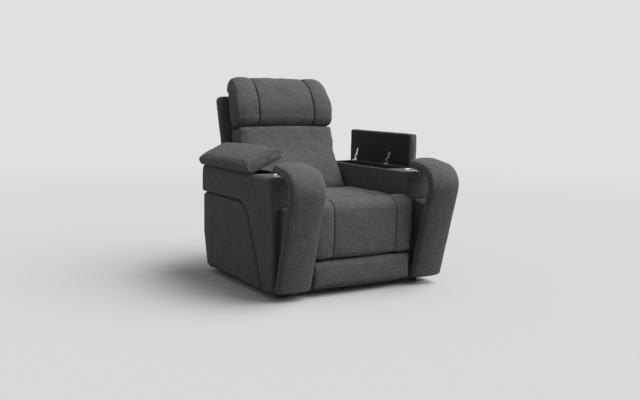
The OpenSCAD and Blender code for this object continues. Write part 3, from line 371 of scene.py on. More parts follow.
def weave(name, base, pitch=0.0016, spread=0.28, bump=0.0005, sheen=0.1):
    """Heathered plain weave: each thread has its own shade, which drifts along it.

    pitch and bump are in metres.
    """
    net = Finish(name, base, 0.92, Sheen_Weight=sheen, Sheen_Roughness=0.45)
    uv = net.node("UVMap", props={"uv_map": "weave"})
    sep = net.tree.nodes.new("ShaderNodeSeparateXYZ")
    net.give(sep.inputs[0], uv)
    u, v = (net.math("DIVIDE", sep.outputs[k], pitch) for k in (0, 1))
    rib_u, rib_v = (net.math("ABSOLUTE", net.math("SINE", net.math("MULTIPLY", w, math.pi))) for w in (u, v))
    iu, iv = net.math("FLOOR", u), net.math("FLOOR", v)
    over = net.math("PINGPONG", net.math("ADD", iu, iv), 1.0)
    under = net.math("SUBTRACT", 1.0, over)

    def thread(across, along, seed):
        """Shade of the thread with this number, which drifts along it."""
        apart, drift = net.math("MULTIPLY", across, 7.31), net.math("MULTIPLY", along, 55.0)
        return net.noise(net.node("CombineXYZ", X=apart, Y=drift, Z=seed), 1.0, 2.0)

    def woven(warp, weft):
        """The warp's value where the warp lies on top, and the weft's elsewhere."""
        return net.math("ADD", net.math("MULTIPLY", warp, over), net.math("MULTIPLY", weft, under))

    shade = woven(thread(iu, sep.outputs[1], 3.7), thread(iv, sep.outputs[0], 9.1))
    warp = net.math("MULTIPLY", rib_u, net.math("MULTIPLY_ADD", rib_v, 0.45, 0.55))
    weft = net.math("MULTIPLY", rib_v, net.math("MULTIPLY_ADD", rib_u, 0.45, 0.55))
    height = woven(warp, weft)
    # Thick places of the yarn run both ways, and a slow cloud lies over all of it
    slub = [net.noise(net.stretch(uv, s), 1.0, 2.5, 0.6) for s in ((210, 24, 1), (24, 210, 1))]
    cloud = net.noise(uv, 9.0, 2.0)
    thread_part, cloud_part = 0.6, 0.3
    total = net.math("ADD", slub[0], slub[1])
    total = net.math("MULTIPLY_ADD", shade, thread_part, total)
    total = net.math("MULTIPLY_ADD", cloud, cloud_part, total)
    mean = net.math("MULTIPLY", total, 1 / (2 + thread_part + cloud_part))
    low, high = (tuple(c * (1 + s * spread) for c in base) for s in (-1.0, 1.5))
    yarn = net.ramp(mean, (0.40, low), (0.49, base), (0.60, high))
    shadow = net.math("MULTIPLY_ADD", height, 0.45, 0.68)
    shadows = net.node("CombineColor", Red=shadow, Green=shadow, Blue=shadow)
    net.set("Base Color", net.mix(1.0, yarn, shadows, "MULTIPLY"))
    return net.bump(net.math("MULTIPLY_ADD", shade, 0.4, height), bump, strength=0.7)


def grained(name, base, rough, scale, depth, spread=0.12, stretch=(1, 1, 1), **shader):
    """Plastic, paint, rubber or metal: a fine grain in the surface and a slow change of shade."""
    net = Finish(name, base, rough, **shader)
    fine = net.noise(net.stretch(net.object(), stretch), scale, 4.0)
    slow = net.noise(net.object(), 11.0, 3.0)
    dark, pale = (tuple(c * (1 + s * spread) for c in base) for s in (-1, 1))
    net.set("Base Color", net.ramp(slow, (0.3, dark), (0.7, pale)))
    net.set("Roughness", net.math("MULTIPLY_ADD", fine, 0.16, rough - 0.08))
    return net.bump(fine, depth, strength=0.5)


def wood(name):
    """Pale timber with rings and fibres along x."""
    net = Finish(name, (0.5, 0.36, 0.21), 0.65)
    ring = net.noise(net.stretch(net.object(), (2.2, 14, 14)), 3.0, 6.0, 0.6)
    fibre = net.noise(net.stretch(net.object(), (12, 260, 260)), 1.0, 2.0)
    both = net.math("MULTIPLY_ADD", fibre, 0.35, net.math("MULTIPLY", ring, 0.65))
    tones = (0.3, (0.34, 0.22, 0.11)), (0.5, (0.52, 0.37, 0.21)), (0.72, (0.64, 0.49, 0.31))
    net.set("Base Color", net.ramp(both, *tones))
    return net.bump(both, distance=0.0004, strength=0.4)


FINISH = {
    FABRIC: weave(FABRIC, (0.129, 0.125, 0.127)),
    # The sides and backs take the same weave painted a little darker: painted shade on faces turned away from the
    # light
    SIDE: weave(SIDE, (0.117, 0.114, 0.116)),
    LINING: weave(LINING, (0.026, 0.026, 0.027), pitch=0.0009, spread=0.2, bump=0.00015, sheen=0.05),
    CHROME: grained(CHROME, (0.78, 0.79, 0.81), rough=0.2, scale=500, depth=0.00002, spread=0.03,
                    Metallic=1.0),
    "black_plastic": grained("black_plastic", (0.022, 0.022, 0.024), rough=0.55, scale=900, depth=0.00012),
    "cup_metal": grained("cup_metal", (0.35, 0.36, 0.38), rough=0.34, scale=300, depth=0.00005, spread=0.08,
                         stretch=(1, 1, 12), Metallic=1.0),
    "button_metal": grained("button_metal", (0.55, 0.55, 0.57), rough=0.3, scale=600, depth=0.00003,
                            spread=0.05, Metallic=1.0),
    "painted_steel": grained("painted_steel", (0.045, 0.045, 0.048), rough=0.5, scale=700, depth=0.00012),
    "glide_plastic": grained("glide_plastic", (0.02, 0.02, 0.02), rough=0.8, scale=800, depth=0.0002),
    "frame_wood": wood("frame_wood"),
}


# Padded forms
SEWN_ROWS = (0, 1.7, 3.6, 6.5, 11, 17)
CAP_STEPS = (0.93, 0.78, 0.55, 0.3, 0.1)


def stations(half, edge, crown, seams=(), groove=5.0):
    """[x, inset all round, lift of the weighted face] across a padded width with sewn channels."""
    spacing, end_seam = 13, 1.6
    inner = half - edge
    sewn = [s * k for s in seams for k in (-1, 1)]
    xs = set(np.round(inner + edge * np.sin(np.radians(np.linspace(0, 90, 7))), 2))
    xs |= set(np.round(np.linspace(-inner, inner, max(2, round(2 * inner / spacing)) + 1), 2))
    xs |= {-x for x in xs}
    for c in sewn:
        xs = {x for x in xs if abs(x - c) > SEWN_ROWS[-1] + 1}
        xs |= {c + k * d for d in SEWN_ROWS for k in (-1, 1)}
    marks = sorted([-inner, inner] + sewn)
    out = []
    for x in sorted(xs):
        over = max(0.0, abs(x) - inner)
        inset = edge - math.sqrt(max(0.0, edge * edge - over * over))
        whole = 1 - (x / half) ** 2
        between = [(a, b) for a, b in zip(marks, marks[1:]) if a <= x <= b]
        puff = 0.0
        if between:
            a, b = between[0]
            puff = max(0.0, 1 - ((2 * x - a - b) / (b - a)) ** 2) ** 0.6
        near = min([abs(x - c) for c in sewn], default=99)
        lift = crown * (0.45 * whole + 0.55 * puff) - groove * math.exp(-((near / 3.4) ** 2))
        inset += end_seam * math.exp(-(((abs(x) - inner) / 2.2) ** 2))
        out.append((x, inset, lift))
    return out


def straight(x, q):
    """A ring that lies square across the form."""
    return np.full(len(q), float(x))


def loft(outline, rows, weight, hub, taper, bulge):
    """Rings of a padded form along x, with padded ends. taper gives the x of a ring's points."""
    n = outward(outline)
    hub = np.array(hub)
    rings = []
    for x, inset, lift in rows:
        q = outline + n * (lift * weight - inset)[:, None]
        rings.append(np.column_stack([taper(x, q), q]))
    for end, sign in ((0, -1), (-1, 1)):
        first = rings[end]
        more = []
        for c in CAP_STEPS:
            q = hub + (first[:, 1:] - hub) * c
            more.append(np.column_stack([taper(rows[end][0], q) + sign * bulge * (1 - c * c), q]))
        rings = more[::-1] + rings if end == 0 else rings + more
    return rings


def ripple(verts, amount, size, seed):
    """Slow unevenness of hand-fitted cloth, in millimetres along each axis."""
    out = []
    for v in verts:
        p = Vector(v) / size
        out.append([noise.noise(p + Vector((seed, k * 17.3, seed * 2))) * amount for k in range(3)])
    return verts + np.array(out)


def inflate(ob, pressure, cap, pinned, where=MAIN):
    """Cloth pressure puffs the piece: none of its points moves further than about cap millimetres.

    where takes the piece's own axes to the frame's, and pinned says which points in its own axes stay.
    """
    frames, stiff = 16, 12
    me = ob.data
    start = np.array([v.co for v in me.vertices], float).reshape(-1, 3)
    held = pinned(place(where.inverted(), start / MM))
    group = ob.vertex_groups.new(name="held")
    group.add([int(i) for i in np.flatnonzero(held)], 1.0, "REPLACE")
    m = ob.modifiers.new("puff", "CLOTH")
    ob.modifiers.move(len(ob.modifiers) - 1, 0)
    s = m.settings
    s.quality, s.mass = 5, 0.25
    s.tension_stiffness = s.compression_stiffness = stiff
    s.shear_stiffness, s.bending_stiffness = 5, 0.6
    s.use_pressure, s.uniform_pressure_force = True, pressure
    s.effector_weights.gravity = 0
    s.vertex_group_mass = group.name
    m.collision_settings.use_collision = m.collision_settings.use_self_collision = False
    m.point_cache.frame_start, m.point_cache.frame_end = 1, frames
    for other in ob.modifiers:
        other.show_viewport = other == m
    for f in range(1, frames + 1):
        SCENE.frame_set(f)
    got = ob.evaluated_get(bpy.context.evaluated_depsgraph_get())
    moved = np.array([v.co for v in got.data.vertices], float).reshape(-1, 3)
    ob.modifiers.remove(m)
    for other in ob.modifiers:
        other.show_viewport = True
    step = moved - start
    far = np.linalg.norm(step, axis=1)[:, None] + 1e-12
    limit = cap * MM
    me.vertices.foreach_set("co", (start + step / far * limit * np.tanh(far / limit)).ravel())
    me.update()
    ob.vertex_groups.clear()
    SCENE.frame_set(1)


def cushion(name, node, outline, rows, weight, hub, where=MAIN, body="root", seed=1, taper=straight,
            bulge=4.0, uneven=1.2, reshape=None):
    """Padded form in place of a soft solid. where takes its own axes to the frame's."""
    verts, faces, uvs = skin(loft(outline, rows, weight, hub, taper, bulge))
    verts = ripple(verts, uneven, size=70, seed=seed)
    if reshape:
        verts = reshape(verts)
    return make(name, place(where, verts), faces, FABRIC, uvs, body, replaces=[node], level=1)


def seat():
    front, rear, low, top = -312, 150, 370, 468
    outline = soft([(front + 8, low), (0, low), (rear + 34, low), (rear + 34, low + 28),
                    (rear + 22, top - 46), (rear + 5, top - 22), (rear - 12, top - 3), (rear - 90, top + 2),
                    (rear - 180, top + 4), (-100, top + 4), (front + 110, top + 4), (front + 40, top + 1),
                    (front + 10, top - 12), (front, top - 34), (front + 2, low + 20)], 20, 9)
    weight = smooth(low + 30, top - 10, outline[:, 1])
    rows = stations(SEAT_HALF, edge=18, crown=6, seams=(SEWN_AT,), groove=4.5)
    ob = cushion("seat_cushion_cover", "seat_cushion", outline, rows, weight, hub=(-80, 419), seed=2)
    inflate(ob, pressure=3.0, cap=6, pinned=lambda p: p[:, 2] < low + 14)


def footrest_upper():
    """Upper pad of the footrest, whose roll laps over the seat's front."""
    rear, front, low, step, crest, r = -385, -447, 189, 430, 487, 62
    outline = soft([(rear, low + 6), (rear, 309), (rear, step), (-353, step), (-328, step + 2),
                    (-322, step + 14), (-323, crest - 22), (-340, crest - 6), (rear + 20, crest - 1),
                    *arc(front + r, crest - r, r, 90, 180, 7), (front - 2, 369), (front - 2, 309),
                    (front, low + 50), (front + 1, low + 18), (front + 5, low + 5), (front + 16, low),
                    (rear - 20, low)], 12, 7)
    face = smooth(rear - 2, rear - 30, outline[:, 0])
    weight = np.maximum(face, 0.8 * smooth(crest - 30, crest - 8, outline[:, 1]))
    rows = stations(SEAT_HALF, edge=18, crown=6, seams=(SEWN_AT,), groove=6)
    ob = cushion("footrest_upper_cover", "footrest_pad", outline, rows, weight, hub=(-410, 450),
                 body="footrest", seed=3)
    inflate(ob, pressure=3.0, cap=6, pinned=lambda p: (p[:, 1] > rear - 4) & (p[:, 2] < step + 6))


def footrest_lower():
    rear, front, low, top, middle = -385, -444, 38, 179, 108
    outline = soft([(rear, low + 3), (rear, top - 3), (rear - 16, top), (front + 14, top),
                    (front + 4, top - 5), (front, top - 16), (front - 1, top - 40), (front - 2, middle),
                    (front - 1, low + 40), (front + 4, low + 12), (front + 16, low + 1),
                    (rear - 16, low)], 10, 6)
    weight = smooth(rear - 8, rear - 40, outline[:, 0])
    rows = stations(SEAT_HALF - 4, edge=16, crown=5)
    ob = cushion("footrest_lower_cover", "footrest_lower_pad", outline, rows, weight,
                 hub=(rear - 31, middle), body="footrest", seed=4)
    inflate(ob, pressure=2.5, cap=5, pinned=lambda p: p[:, 1] > rear - 4)


def back_cushion():
    behind, top, half, slim_half = 149.6, 510, 318, 303
    outline = soft([(behind, 97), (behind, 250), (behind, 400), (behind, top - 20), (138, top - 2),
                    (100, top), (82, top), (68, top + 2), (57, top + 6), (50, top + 6), (46, top - 4),
                    (45, top - 30), (38, 420), (24, 360), (4, 300), (-16, 245), (-36, 185), (-50, 145),
                    (-54, 122), (-46, 104), (-28, 94), (20, 92), (90, 92)], 18, 9)
    weight = smooth(110, 30, outline[:, 0]) * smooth(90, 130, outline[:, 1])

    def taper(x, q):
        """Slim between the arms and the shut lids, and full above them."""
        above = smooth(350, 420, q[:, 1] - 0.27 * q[:, 0])
        return (slim_half + (half - slim_half) * above) * x / half

    def creased(v):
        """Shallow folds where the cloth draws in at the upper corners and across the lumbar bulge."""
        x, s = v[:, 0], v[:, 2]
        front = smooth(120, 60, v[:, 1])
        for side, depth in ((-1, 2.6), (1, 1.82)):
            a, b = (side * x - 250) / 62, (s - 452) / 44
            fold = np.exp(-a * a - b * b) * np.sin((s + side * x * 0.55) / 7.5)
            v[:, 1] += depth * fold * front
        low = np.exp(-(((s - 236) / 34) ** 2)) * np.sin((s - 0.06 * np.abs(x)) / 9.0)
        v[:, 1] += 1.1 * low * front * smooth(290, 180, np.abs(x))
        return v

    rows = stations(half, edge=22, crown=12)
    ob = cushion("back_cushion_cover", "back_cushion", outline, rows, weight, hub=(60, 300), where=BACK,
                 body="backrest", seed=5, taper=taper, bulge=3, uneven=2.2, reshape=creased)
    inflate(ob, pressure=3.0, cap=7, pinned=lambda p: p[:, 1] > 138, where=BACK)


def headrest():
    t, s, r, top = HEAD_PIVOT_T, HEAD_PIVOT_S, 58, HEAD_TOP
    outline = soft([*arc(t, s, r, -180, 0, 10), (144, s + 60), (148, SHELL_TOP - 4),
                    (168, SHELL_TOP + 16), (168, top - 46), (160, top - 16), (142, top), (120, top + 4),
                    (98, top - 1), (78, top - 19), (58, top - 50), (42, top - 86), (30, top - 122),
                    (22, top - 158), (20, top - 192), (23, top - 220)], 14, 7)
    front = smooth(t + 10, t - 30, outline[:, 0])
    weight = np.maximum(front, smooth(top - 60, top - 20, outline[:, 1]) * 0.8)

    def taper(x, q):
        """Drawn in towards the top."""
        lean = np.clip((q[:, 1] - top + 210) / 210, 0, 1)
        return x * (1 - 0.06 * lean ** 1.5)

    def corners(v):
        """The top corners fall away in a round."""
        end = np.clip((np.abs(v[:, 0]) - 236) / 60, 0, 1.1)
        v[:, 2] -= 7 * end ** 2.4 * smooth(top - 90, top - 6, v[:, 2])
        return v

    rows = stations(318, edge=24, crown=9, seams=(182,), groove=10)
    ob = cushion("headrest_cover", "headrest_cushion", outline, rows, weight, hub=(90, 690), where=BACK,
                 body="headrest", seed=6, taper=taper, uneven=1.8, reshape=corners)
    inflate(ob, pressure=2.5, cap=6, pinned=lambda p: p[:, 1] > 140, where=BACK)


def lid_cover(side, where):
    """A lid's padded cover. where takes its own axes, along, inward and up, to its place at rest."""
    top, w, half = 56, LID_W, (LID_Y1 - LID_Y0) / 2
    shape = np.array([(-5, -1.5), (94, -1.5), (w - 9, -1.5), (w - 3, 3), (w - 1, 13), (w, 27),
                      (w - 1, 42), (w - 6, 51), (w - 17, 55), (w * 0.8, top + 1), (w * 0.62, top + 3),
                      (w * 0.44, top + 3.5), (w * 0.24, top + 2), (w * 0.06, 54.5), (-15, 50), (-23, 42),
                      (-25.5, 28), (-22, 13), (-13, 4)], float)
    # The lid that stands half open is the fuller one
    fuller = 6 if side < 0 else 0
    shape[:, 1] += fuller * smooth(24, 40, shape[:, 1])
    outline = soft(shape, 8, 6)
    rows = [(x + LID_Y0 + half, inset, lift - 6) for x, inset, lift in stations(half, edge=9, crown=8)]

    def flat_below(v):
        """The underside lies flat behind its lining."""
        along = np.abs(v[:, 0] - LID_Y0 - half) < half - 14
        v[along & (v[:, 2] < 9) & (v[:, 1] > 8) & (v[:, 1] < w - 13), 2] = 1.5
        return v

    word = SIDE_NAME[side]
    weight = smooth(42, 54, outline[:, 1])
    ob = cushion(f"{word}_lid_cover", f"{word}_lid_pad", outline, rows, weight, hub=(w / 2, 24), where=where,
                 body=f"{word}_lid", seed=7 + side, bulge=3, reshape=flat_below)
    inflate(ob, pressure=2.5, cap=5, pinned=lambda p: p[:, 2] < 12, where=where)


def lid_lining(side, where):
    """Board lined with dark cloth under a lid."""
    word = SIDE_NAME[side]
    verts, faces = block((LID_Y0 + 10, 6, -2.2), (LID_Y1 - 10, LID_W - 10, 3), edge=0.8)
    make(f"{word}_lid_lining", place(where, verts), faces, LINING, body=f"{word}_lid",
         replaces=[f"{word}_lid_board"], crisp=40)


def lid_leaves(side, where):
    """Two bright hinge leaves on a lid's underside, each with its knuckle, arm and screws."""
    out, flush, length, knuckle_r, screw_r = -3, -1.5, 22, 4, 2.7
    parts = []
    for share in (0.37, 0.91):
        y = LID_Y0 + (LID_Y1 - LID_Y0) * share
        slant = Matrix.Translation((y - length / 2, 16, 0)) @ Matrix.Rotation(math.radians(22), 4, "Z")
        along = Matrix.Translation((y - length, 0, 0)) @ Matrix.Rotation(math.pi / 2, 4, "Y")
        parts += [block((y - length, 0, out), (y, 32, flush), edge=0.4),
                  block((-8, 0, out), (8, 62, flush), edge=0.4, turn=slant),
                  disc(knuckle_r, length, edge=0.4, turn=along)]
        screws = [(MAIN, y - 17, 9), (MAIN, y - 5, 9), (slant, 0, 26), (slant, 0, 40), (slant, 0, 54)]
        for turn, a, b in screws:
            facing_out = Matrix.Translation((a, b, out)) @ Matrix.Rotation(math.pi, 4, "X")
            parts.append(disc(screw_r, height=0.8, edge=0.5, turn=turn @ facing_out, sides=20))
    verts, faces = merged(parts)
    word = SIDE_NAME[side]
    make(f"{word}_lid_leaves", place(where, verts), faces, CHROME, body=f"{word}_lid", crisp=40)


def post_path():
    """Middle line of a post as (forward, z), from its foot to the end of its hook."""
    y, z, r, lean, reach = 477, 543, 106 - 22, 15, 79
    start, end = math.radians(lean), math.radians(reach)
    shin = np.array([y + r * math.cos(start), z - r * math.sin(start)])
    run = (shin[1] - 34 - 44 * 0.3) / math.cos(start)
    foot = shin - np.array([math.sin(start), math.cos(start)]) * run
    top = np.array([y + r * math.cos(end), z + r * math.sin(end)])
    tip = top + np.array([-math.sin(end), math.cos(end)]) * 116
    return np.vstack([densify(np.array([foot, shin]), 12, False)[:-1], arc(y, z, r, -lean, reach, 16),
                      densify(np.array([top, tip]), 12, False)[1:]])


def mirrored(flank, rear):
    """Closed section from its right flank and the height of its middle at the far side."""
    return np.array(flank + [(0, rear)] + [(-a, b) for a, b in flank[:0:-1]])


def posts():
    """Padded front posts, swept along their middle line and over the arms."""
    spacing, half, rounding = 9.0, 95.0, 12
    path = resample(post_path(), spacing, False)
    k = len(path)
    flank = [(0, -22), (40, -22), (70, -22), (84, -21), (91, -17), (94.5, -9), (95.3, -2), (94.8, 5),
             (92.5, 10.5), (90.2, 12.4), (88.6, 13.2), (88.9, 15), (89.4, 17.6), (87.8, 21), (83, 24.4),
             (74, 27.8), (58, 31.4), (38, 34.3), (18, 35.7)]
    section = mirrored(flank, 36)
    for side, word in SIDE_NAME.items():
        rings = []
        for i, p in enumerate(path):
            d = path[min(i + 1, k - 1)] - path[max(i - 1, 0)]
            d = d / np.linalg.norm(d)
            n = np.array([d[1], -d[0]])
            run, left = i * spacing, (k - 1 - i) * spacing
            close = math.sqrt(max(0.0, 1 - max(0.0, 1 - min(run, left) / rounding) ** 2))
            tail = max(0.0, 1 - left / 110)
            q = section.copy()
            q[:, 0] *= (half - (1 - close) * 9) / half
            q[:, 1] *= 0.62 + 0.38 * close - 0.12 * tail
            across = side * (ARM_OUT - half + q[:, 0])
            rings.append(np.column_stack([across, -(p[0] + n[0] * q[:, 1]), p[1] + n[1] * q[:, 1]]))
        for end in (0, -1):
            hub = rings[end].mean(0)
            more = [hub + (rings[end] - hub) * c for c in (0.93, 0.75, 0.45, 0.15)]
            rings = more[::-1] + rings if end == 0 else rings + more
        verts, faces, uvs = skin(rings)
        verts = ripple(verts, amount=0.9, size=80, seed=20 + side)
        ob = make(f"{word}_post_cover", verts, faces, FABRIC, uvs, replaces=[f"{word}_post"], level=1)


def back_shell():
    """Outer back: a padded slab whose width steps out above the arms."""
    mid, bottom, top, corner, low_half, high_half = 209, -20, SHELL_TOP, 26, 297, 350
    ends = bottom + np.array([0, 1.5, 5, 11, 20]), top - np.array([34, 24, 15, 8, 3, 0.6])
    rings = []
    for v in np.r_[ends[0], np.arange(0, 690, 13), ends[1]]:
        half = low_half + (high_half - low_half) * smooth(262, 318, v)
        over = max(0.0, corner - (top - v), corner * 0.6 - (v - bottom))
        half -= corner - math.sqrt(max(0.0, corner ** 2 - over ** 2)) if over > 0 else 0
        thick = 24 * (0.5 + 0.5 * math.sqrt(max(0.0, 1 - max(0.0, 1 - min(top - v, v - bottom) / 18) ** 2)))
        flank = [(0, -thick), (half * 0.5, -thick), (half - 40, -thick), (half - 18, -thick + 1),
                 (half - 7, -thick + 5), (half - 1.5, -thick * 0.5), (half, 0), (half - 1, thick * 0.45),
                 (half - 4, thick * 0.66), (half - 5.5, thick * 0.78), (half - 10, thick * 0.93),
                 (half - 24, thick + 1.5), (half * 0.8, thick + 3), (half * 0.5, thick + 5),
                 (half * 0.25, thick + 6)]
        section = mirrored(flank, thick + 6)
        rings.append(np.column_stack([section[:, 0], mid + section[:, 1], np.full(len(section), v)]))
    verts, faces, uvs = skin(rings)
    verts = ripple(verts, amount=1.2, size=110, seed=31)
    ob = make("back_shell_cover", place(BACK, verts), faces, SIDE, uvs, "backrest", replaces=["back_shell"],
              level=1)


# Arm panels
def inside(points, loop):
    """Distance of each point to a closed loop, negative outside it."""
    a, b = loop, np.roll(loop, -1, 0)
    d = b - a
    ap = points[:, None] - a[None]
    t = np.clip((ap * d[None]).sum(2) / (d * d).sum(1)[None], 0, 1)
    far = np.linalg.norm(ap - t[..., None] * d[None], axis=2).min(1)
    hit = (a[None, :, 1] > points[:, None, 1]) != (b[None, :, 1] > points[:, None, 1])
    cross = a[None, :, 0] + (points[:, None, 1] - a[None, :, 1]) * d[None, :, 0] / (d[None, :, 1] + 1e-12)
    return np.where((hit & (points[:, None, 0] < cross)).sum(1) % 2 == 1, far, -far)


def panel(name, corners, lip, height, edge, power, crown, mount, replaces=()):
    """Padded panel over a flat outline: a lip, a rounded edge and a slight crown.

    edge and power give the width and the roundness of the edge at each point, and mount places
    (a, b, height) in the frame.
    """
    loop = resample(chaikin(densify(np.array(corners, float), 9), 2), 6)
    width = float(np.median(edge(loop)))
    ring_points = [loop]
    n = outward(loop, 2)
    for share in (0.06, 0.16, 0.32, 0.52, 0.76, 1.02, 1.5, 2.2):
        off = share * width
        q = resample(loop - n * off, 6 + 5 * share)
        ring_points.append(q[inside(q, loop) > off * 0.93])
    lo, hi = loop.min(0), loop.max(0)
    step = 15
    grid = np.stack(np.meshgrid(*[np.arange(lo[k], hi[k], step) for k in (0, 1)]), -1).reshape(-1, 2)
    grid = grid + np.array([step / 2, 0]) * (np.round((grid[:, 1:] - lo[1]) / step) % 2)
    ring_points.append(grid[inside(grid, loop) > 2.6 * width])
    points = np.concatenate(ring_points)
    count = len(loop)
    rim = [(i, (i + 1) % count) for i in range(count)]
    flat, _, tris, *_ = delaunay_2d_cdt([Vector(p) for p in points], rim, [], 1, 1e-5)
    flat = np.array([tuple(p) for p in flat])
    d = np.maximum(inside(flat, loop), 0)
    share = np.clip(d / edge(flat), 0, 1)
    p = power(flat)
    rise = lip + (height - lip) * (1 - (1 - share) ** p) ** (1 / p) + crown * smooth(0, 90, d)
    total = len(flat)
    verts = np.vstack([np.column_stack([flat, rise]), np.column_stack([flat, np.zeros(total)])])
    faces = [tuple(t) for t in tris] + [tuple(v + total for v in t[::-1]) for t in tris]
    edges = {}
    for t in tris:
        for i in range(3):
            edges[(t[i], t[(i + 1) % 3])] = 1
    for a, b in [e for e in edges if (e[1], e[0]) not in edges]:
        faces.append((b, a, a + total, b + total))
    return make(name, mount(verts), faces, SIDE, replaces=replaces)


def seam_curve(gap):
    """The curved seam on the arm's outer side as (y, z), moved up and forward by gap."""
    lean = math.tan(math.radians(SEAM_LEAN))
    bend = arc(SEAM_Y, SEAM_Z - SEAM_R, SEAM_R + gap, 90, 180 - SEAM_LEAN, 16)
    low = bend[-1][1] - ARM_BOTTOM
    return bend + [(bend[-1][0] - low * lean, ARM_BOTTOM)]


def even(value):
    """The same value at every point."""
    return lambda p: np.full(len(p), value)


def arm_panels():
    """Padded panels above and below the curved seam on each arm's outer side."""
    lip, height, edge, gap, r = 6, 22, 13.0, SEAM_GAP / 2, 34
    seam = seam_curve(gap)
    upper = [(ARM_FRONT, ARM_BOTTOM), *seam[::-1], (ARM_REAR, SEAM_Z + gap), (ARM_REAR, ARM_TOP - 7),
             (ARM_REAR - 7, ARM_TOP), (ARM_FRONT + FRONT_LEAN, ARM_TOP), (ARM_FRONT, HOUSING_Z)]
    heel = arc(LOWER_REAR - r - 36, ARM_BOTTOM + 16 + r, r, -90, 0, 6)
    lower = [(LOWER_REAR, LOWER_TOP), *seam_curve(-gap), *heel, (LOWER_REAR, ARM_BOTTOM + 200)]

    def wider_on_top(p):
        return edge + 6 * smooth(ARM_TOP - 40, ARM_TOP - 8, p[:, 1])

    def flatter_on_top(p):
        return 2.0 - 0.7 * smooth(ARM_TOP - 45, ARM_TOP - 15, p[:, 1])

    def outer_face(side):
        return lambda v: np.column_stack([side * (CORE_OUT + v[:, 2]), v[:, 0], v[:, 1]])

    for side, word in SIDE_NAME.items():
        panel(f"{word}_arm_side_upper", upper, lip, height, wider_on_top, flatter_on_top, crown=1.0,
              mount=outer_face(side), replaces=[f"{word}_outer_upper_panel"])
        panel(f"{word}_arm_side_lower", lower, lip, height, even(edge), even(2.0), crown=2.0,
              mount=outer_face(side), replaces=[f"{word}_outer_lower_panel"])


def arm_rears():
    """Cloth panel over the rear end of each arm."""
    left, right, low, top = CORE_IN + 2, CORE_OUT - 2, ARM_BOTTOM + 4, ARM_TOP - 5
    corners = [(left, low), (right, low), (right, top), (left, top)]

    def rear_face(side):
        return lambda v: np.column_stack([side * v[:, 0], CORE_REAR + 0.4 + v[:, 2], v[:, 1]])

    for side, word in SIDE_NAME.items():
        panel(f"{word}_arm_rear", corners, lip=3, height=9, edge=even(9.0), power=even(2.0), crown=1.5,
              mount=rear_face(side))


# Cloth over stiff solids
def copied(node):
    """A solid's faces as a bmesh, without the lines inside flat faces."""
    bm = bmesh.new()
    bm.from_mesh(frame["nodes"][node].data)
    bmesh.ops.remove_doubles(bm, verts=bm.verts, dist=1e-6)
    bmesh.ops.dissolve_limit(bm, angle_limit=math.radians(2), verts=bm.verts, edges=bm.edges)
    bm.normal_update()
    return bm


def covered(name, node, bm, body, crisp):
    """A piece from a bmesh in metres, in place of a stiff solid."""
    bmesh.ops.triangulate(bm, faces=[f for f in bm.faces if len(f.verts) > 4])
    verts, faces = taken(bm)
    return make(name, verts / MM, faces, SIDE, body=body, replaces=[node], crisp=crisp)


def rounded(name, node, width):
    """Cloth over a stiff block, whose edges it rounds."""
    bm = copied(node)
    sharp = [e for e in bm.edges if len(e.link_faces) == 2 and e.calc_face_angle() > math.radians(32)]
    bmesh.ops.bevel(bm, geom=sharp, offset=width * MM, offset_type="OFFSET", segments=3, profile=0.5,
                    affect="EDGES", clamp_overlap=True)
    return covered(name, node, bm, "root", 40)


def wrapped(name, node, body="root"):
    """Cloth drawn over a wooden frame: the frame's own faces, moved out by the cloth's thickness."""
    bm = copied(node)
    moved = []
    for v in bm.verts:
        facings = []
        for f in v.link_faces:
            if all(f.normal.dot(n) < 0.98 for n in facings):
                facings.append(f.normal.copy())
        moved.append(v.co + sum(facings, Vector()) * CLOTH * MM)
    for v, co in zip(bm.verts, moved):
        v.co = co
    return covered(name, node, bm, body, 30)


def finish_solids():
    """Materials of the solids that stay as they are."""
    slots = {m["node"]: m["material_slot"] for m in frame["record"]["subparts"]}
    for name, ob in frame["nodes"].items():
        if not ob.hide_render:
            ob.data.materials.clear()
            ob.data.materials.append(FINISH[slots[name]])


# Studio, in metres
FLOOR_R = 40
LIT_LEVEL, BACKDROP_LEVEL = 0.22, 0.745


def grey(level):
    return (level,) * 3


def seen_rays(net):
    """Camera ray, and any ray by which a surface is seen directly, in metal or through glass."""
    rays = net.tree.nodes.new("ShaderNodeLightPath").outputs
    seen = net.math("MAXIMUM", rays["Is Camera Ray"], rays["Is Glossy Ray"])
    return rays["Is Camera Ray"], net.math("MAXIMUM", seen, rays["Is Transmission Ray"])


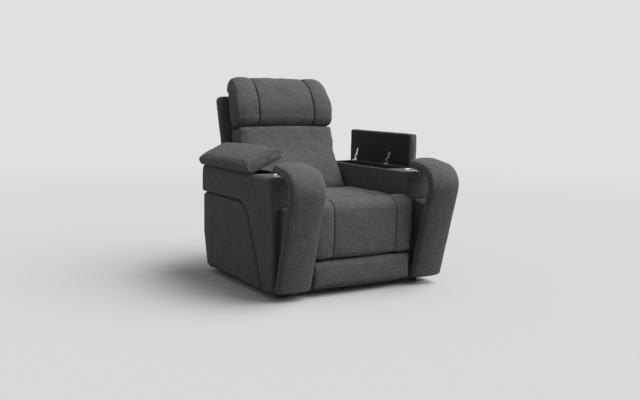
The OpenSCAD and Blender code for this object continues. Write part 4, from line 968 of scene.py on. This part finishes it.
def floor():
    """Pale floor that takes the seat's shadow. Far from the seat it turns into the even backdrop."""
    me = bpy.data.meshes.new("floor")
    bm = bmesh.new()
    bmesh.ops.create_circle(bm, cap_ends=True, segments=96, radius=FLOOR_R)
    bm.to_mesh(me)
    bm.free()
    ob = bpy.data.objects.new("floor", me)
    SCENE.collection.objects.link(ob)
    net = Finish("floor", rough=0.9, Specular_IOR_Level=0.1)
    camera_ray, seen = seen_rays(net)
    net.set("Base Color", net.mix(seen, grey(0.16), grey(0.775)))
    distance = net.node("VectorMath", "Value", {"operation": "LENGTH"}, i0=net.object())
    far = net.math("DIVIDE", distance, 8.0)
    fade = net.ramp(far, (0.09, grey(0)), (0.15, grey(0.4)), (0.24, grey(0.6)), (1, grey(1)), ease=True)
    tone = net.ramp(far, (0.25, grey(0.69)), (1, grey(BACKDROP_LEVEL)), ease=True)
    share = net.math("MULTIPLY", fade, camera_ray)
    mixed = net.node("MixShader", i0=share, i1=net.bsdf.outputs[0], i2=net.node("Emission", Color=tone))
    net.give(net.tree.nodes["Material Output"].inputs["Surface"], mixed)
    me.materials.append(net.mat)


def backdrop():
    """Even light all round, which is seen as a pale backdrop."""
    world = bpy.data.worlds.new("studio")
    SCENE.world = world
    world.use_nodes = True
    net = Nodes(world.node_tree)
    net.tree.nodes.clear()
    _, seen = seen_rays(net)
    lit, shown = (net.node("Background", Color=(1, 1, 1, 1), Strength=level)
                  for level in (LIT_LEVEL, BACKDROP_LEVEL))
    out = net.tree.nodes.new("ShaderNodeOutputWorld")
    net.give(out.inputs["Surface"], net.node("MixShader", i0=seen, i1=lit, i2=shown))


def key_light():
    """One wide soft light from the front, above and the viewer's right."""
    light = bpy.data.lights.new("key", "SUN")
    light.energy, light.angle = 2.83, math.radians(60)
    ob = bpy.data.objects.new("key", light)
    SCENE.collection.objects.link(ob)
    ob.rotation_euler = Vector((0.58, -0.33, 0.745)).to_track_quat("Z", "Y").to_euler()


camera()
seat()
footrest_upper()
footrest_lower()
back_cushion()
headrest()
for side in SIDE_NAME:
    for make_piece in (lid_cover, lid_lining, lid_leaves):
        make_piece(side, lid_frame(side))
posts()
arm_panels()
arm_rears()
back_shell()
for word in SIDE_NAME.values():
    rounded(f"{word}_cup_block", f"{word}_cup_housing", 7)
    rounded(f"{word}_arm_inside", f"{word}_inner_panel", 5)
    rounded(f"{word}_post_backing", f"{word}_post_web", 3)
    wrapped(f"{word}_arm_wrap", f"{word}_arm_frame")
rounded("rear_valance", "rear_panel", 4)
wrapped("footrest_board_wrap", "footrest_board", "footrest")
wrapped("back_frame_wrap", "back_frame", "backrest")
wrapped("headrest_board_wrap", "headrest_board", "headrest")
finish_solids()
floor()
backdrop()
key_light()

SCENE.view_settings.view_transform = "Standard"
bpy.context.view_layer.update()
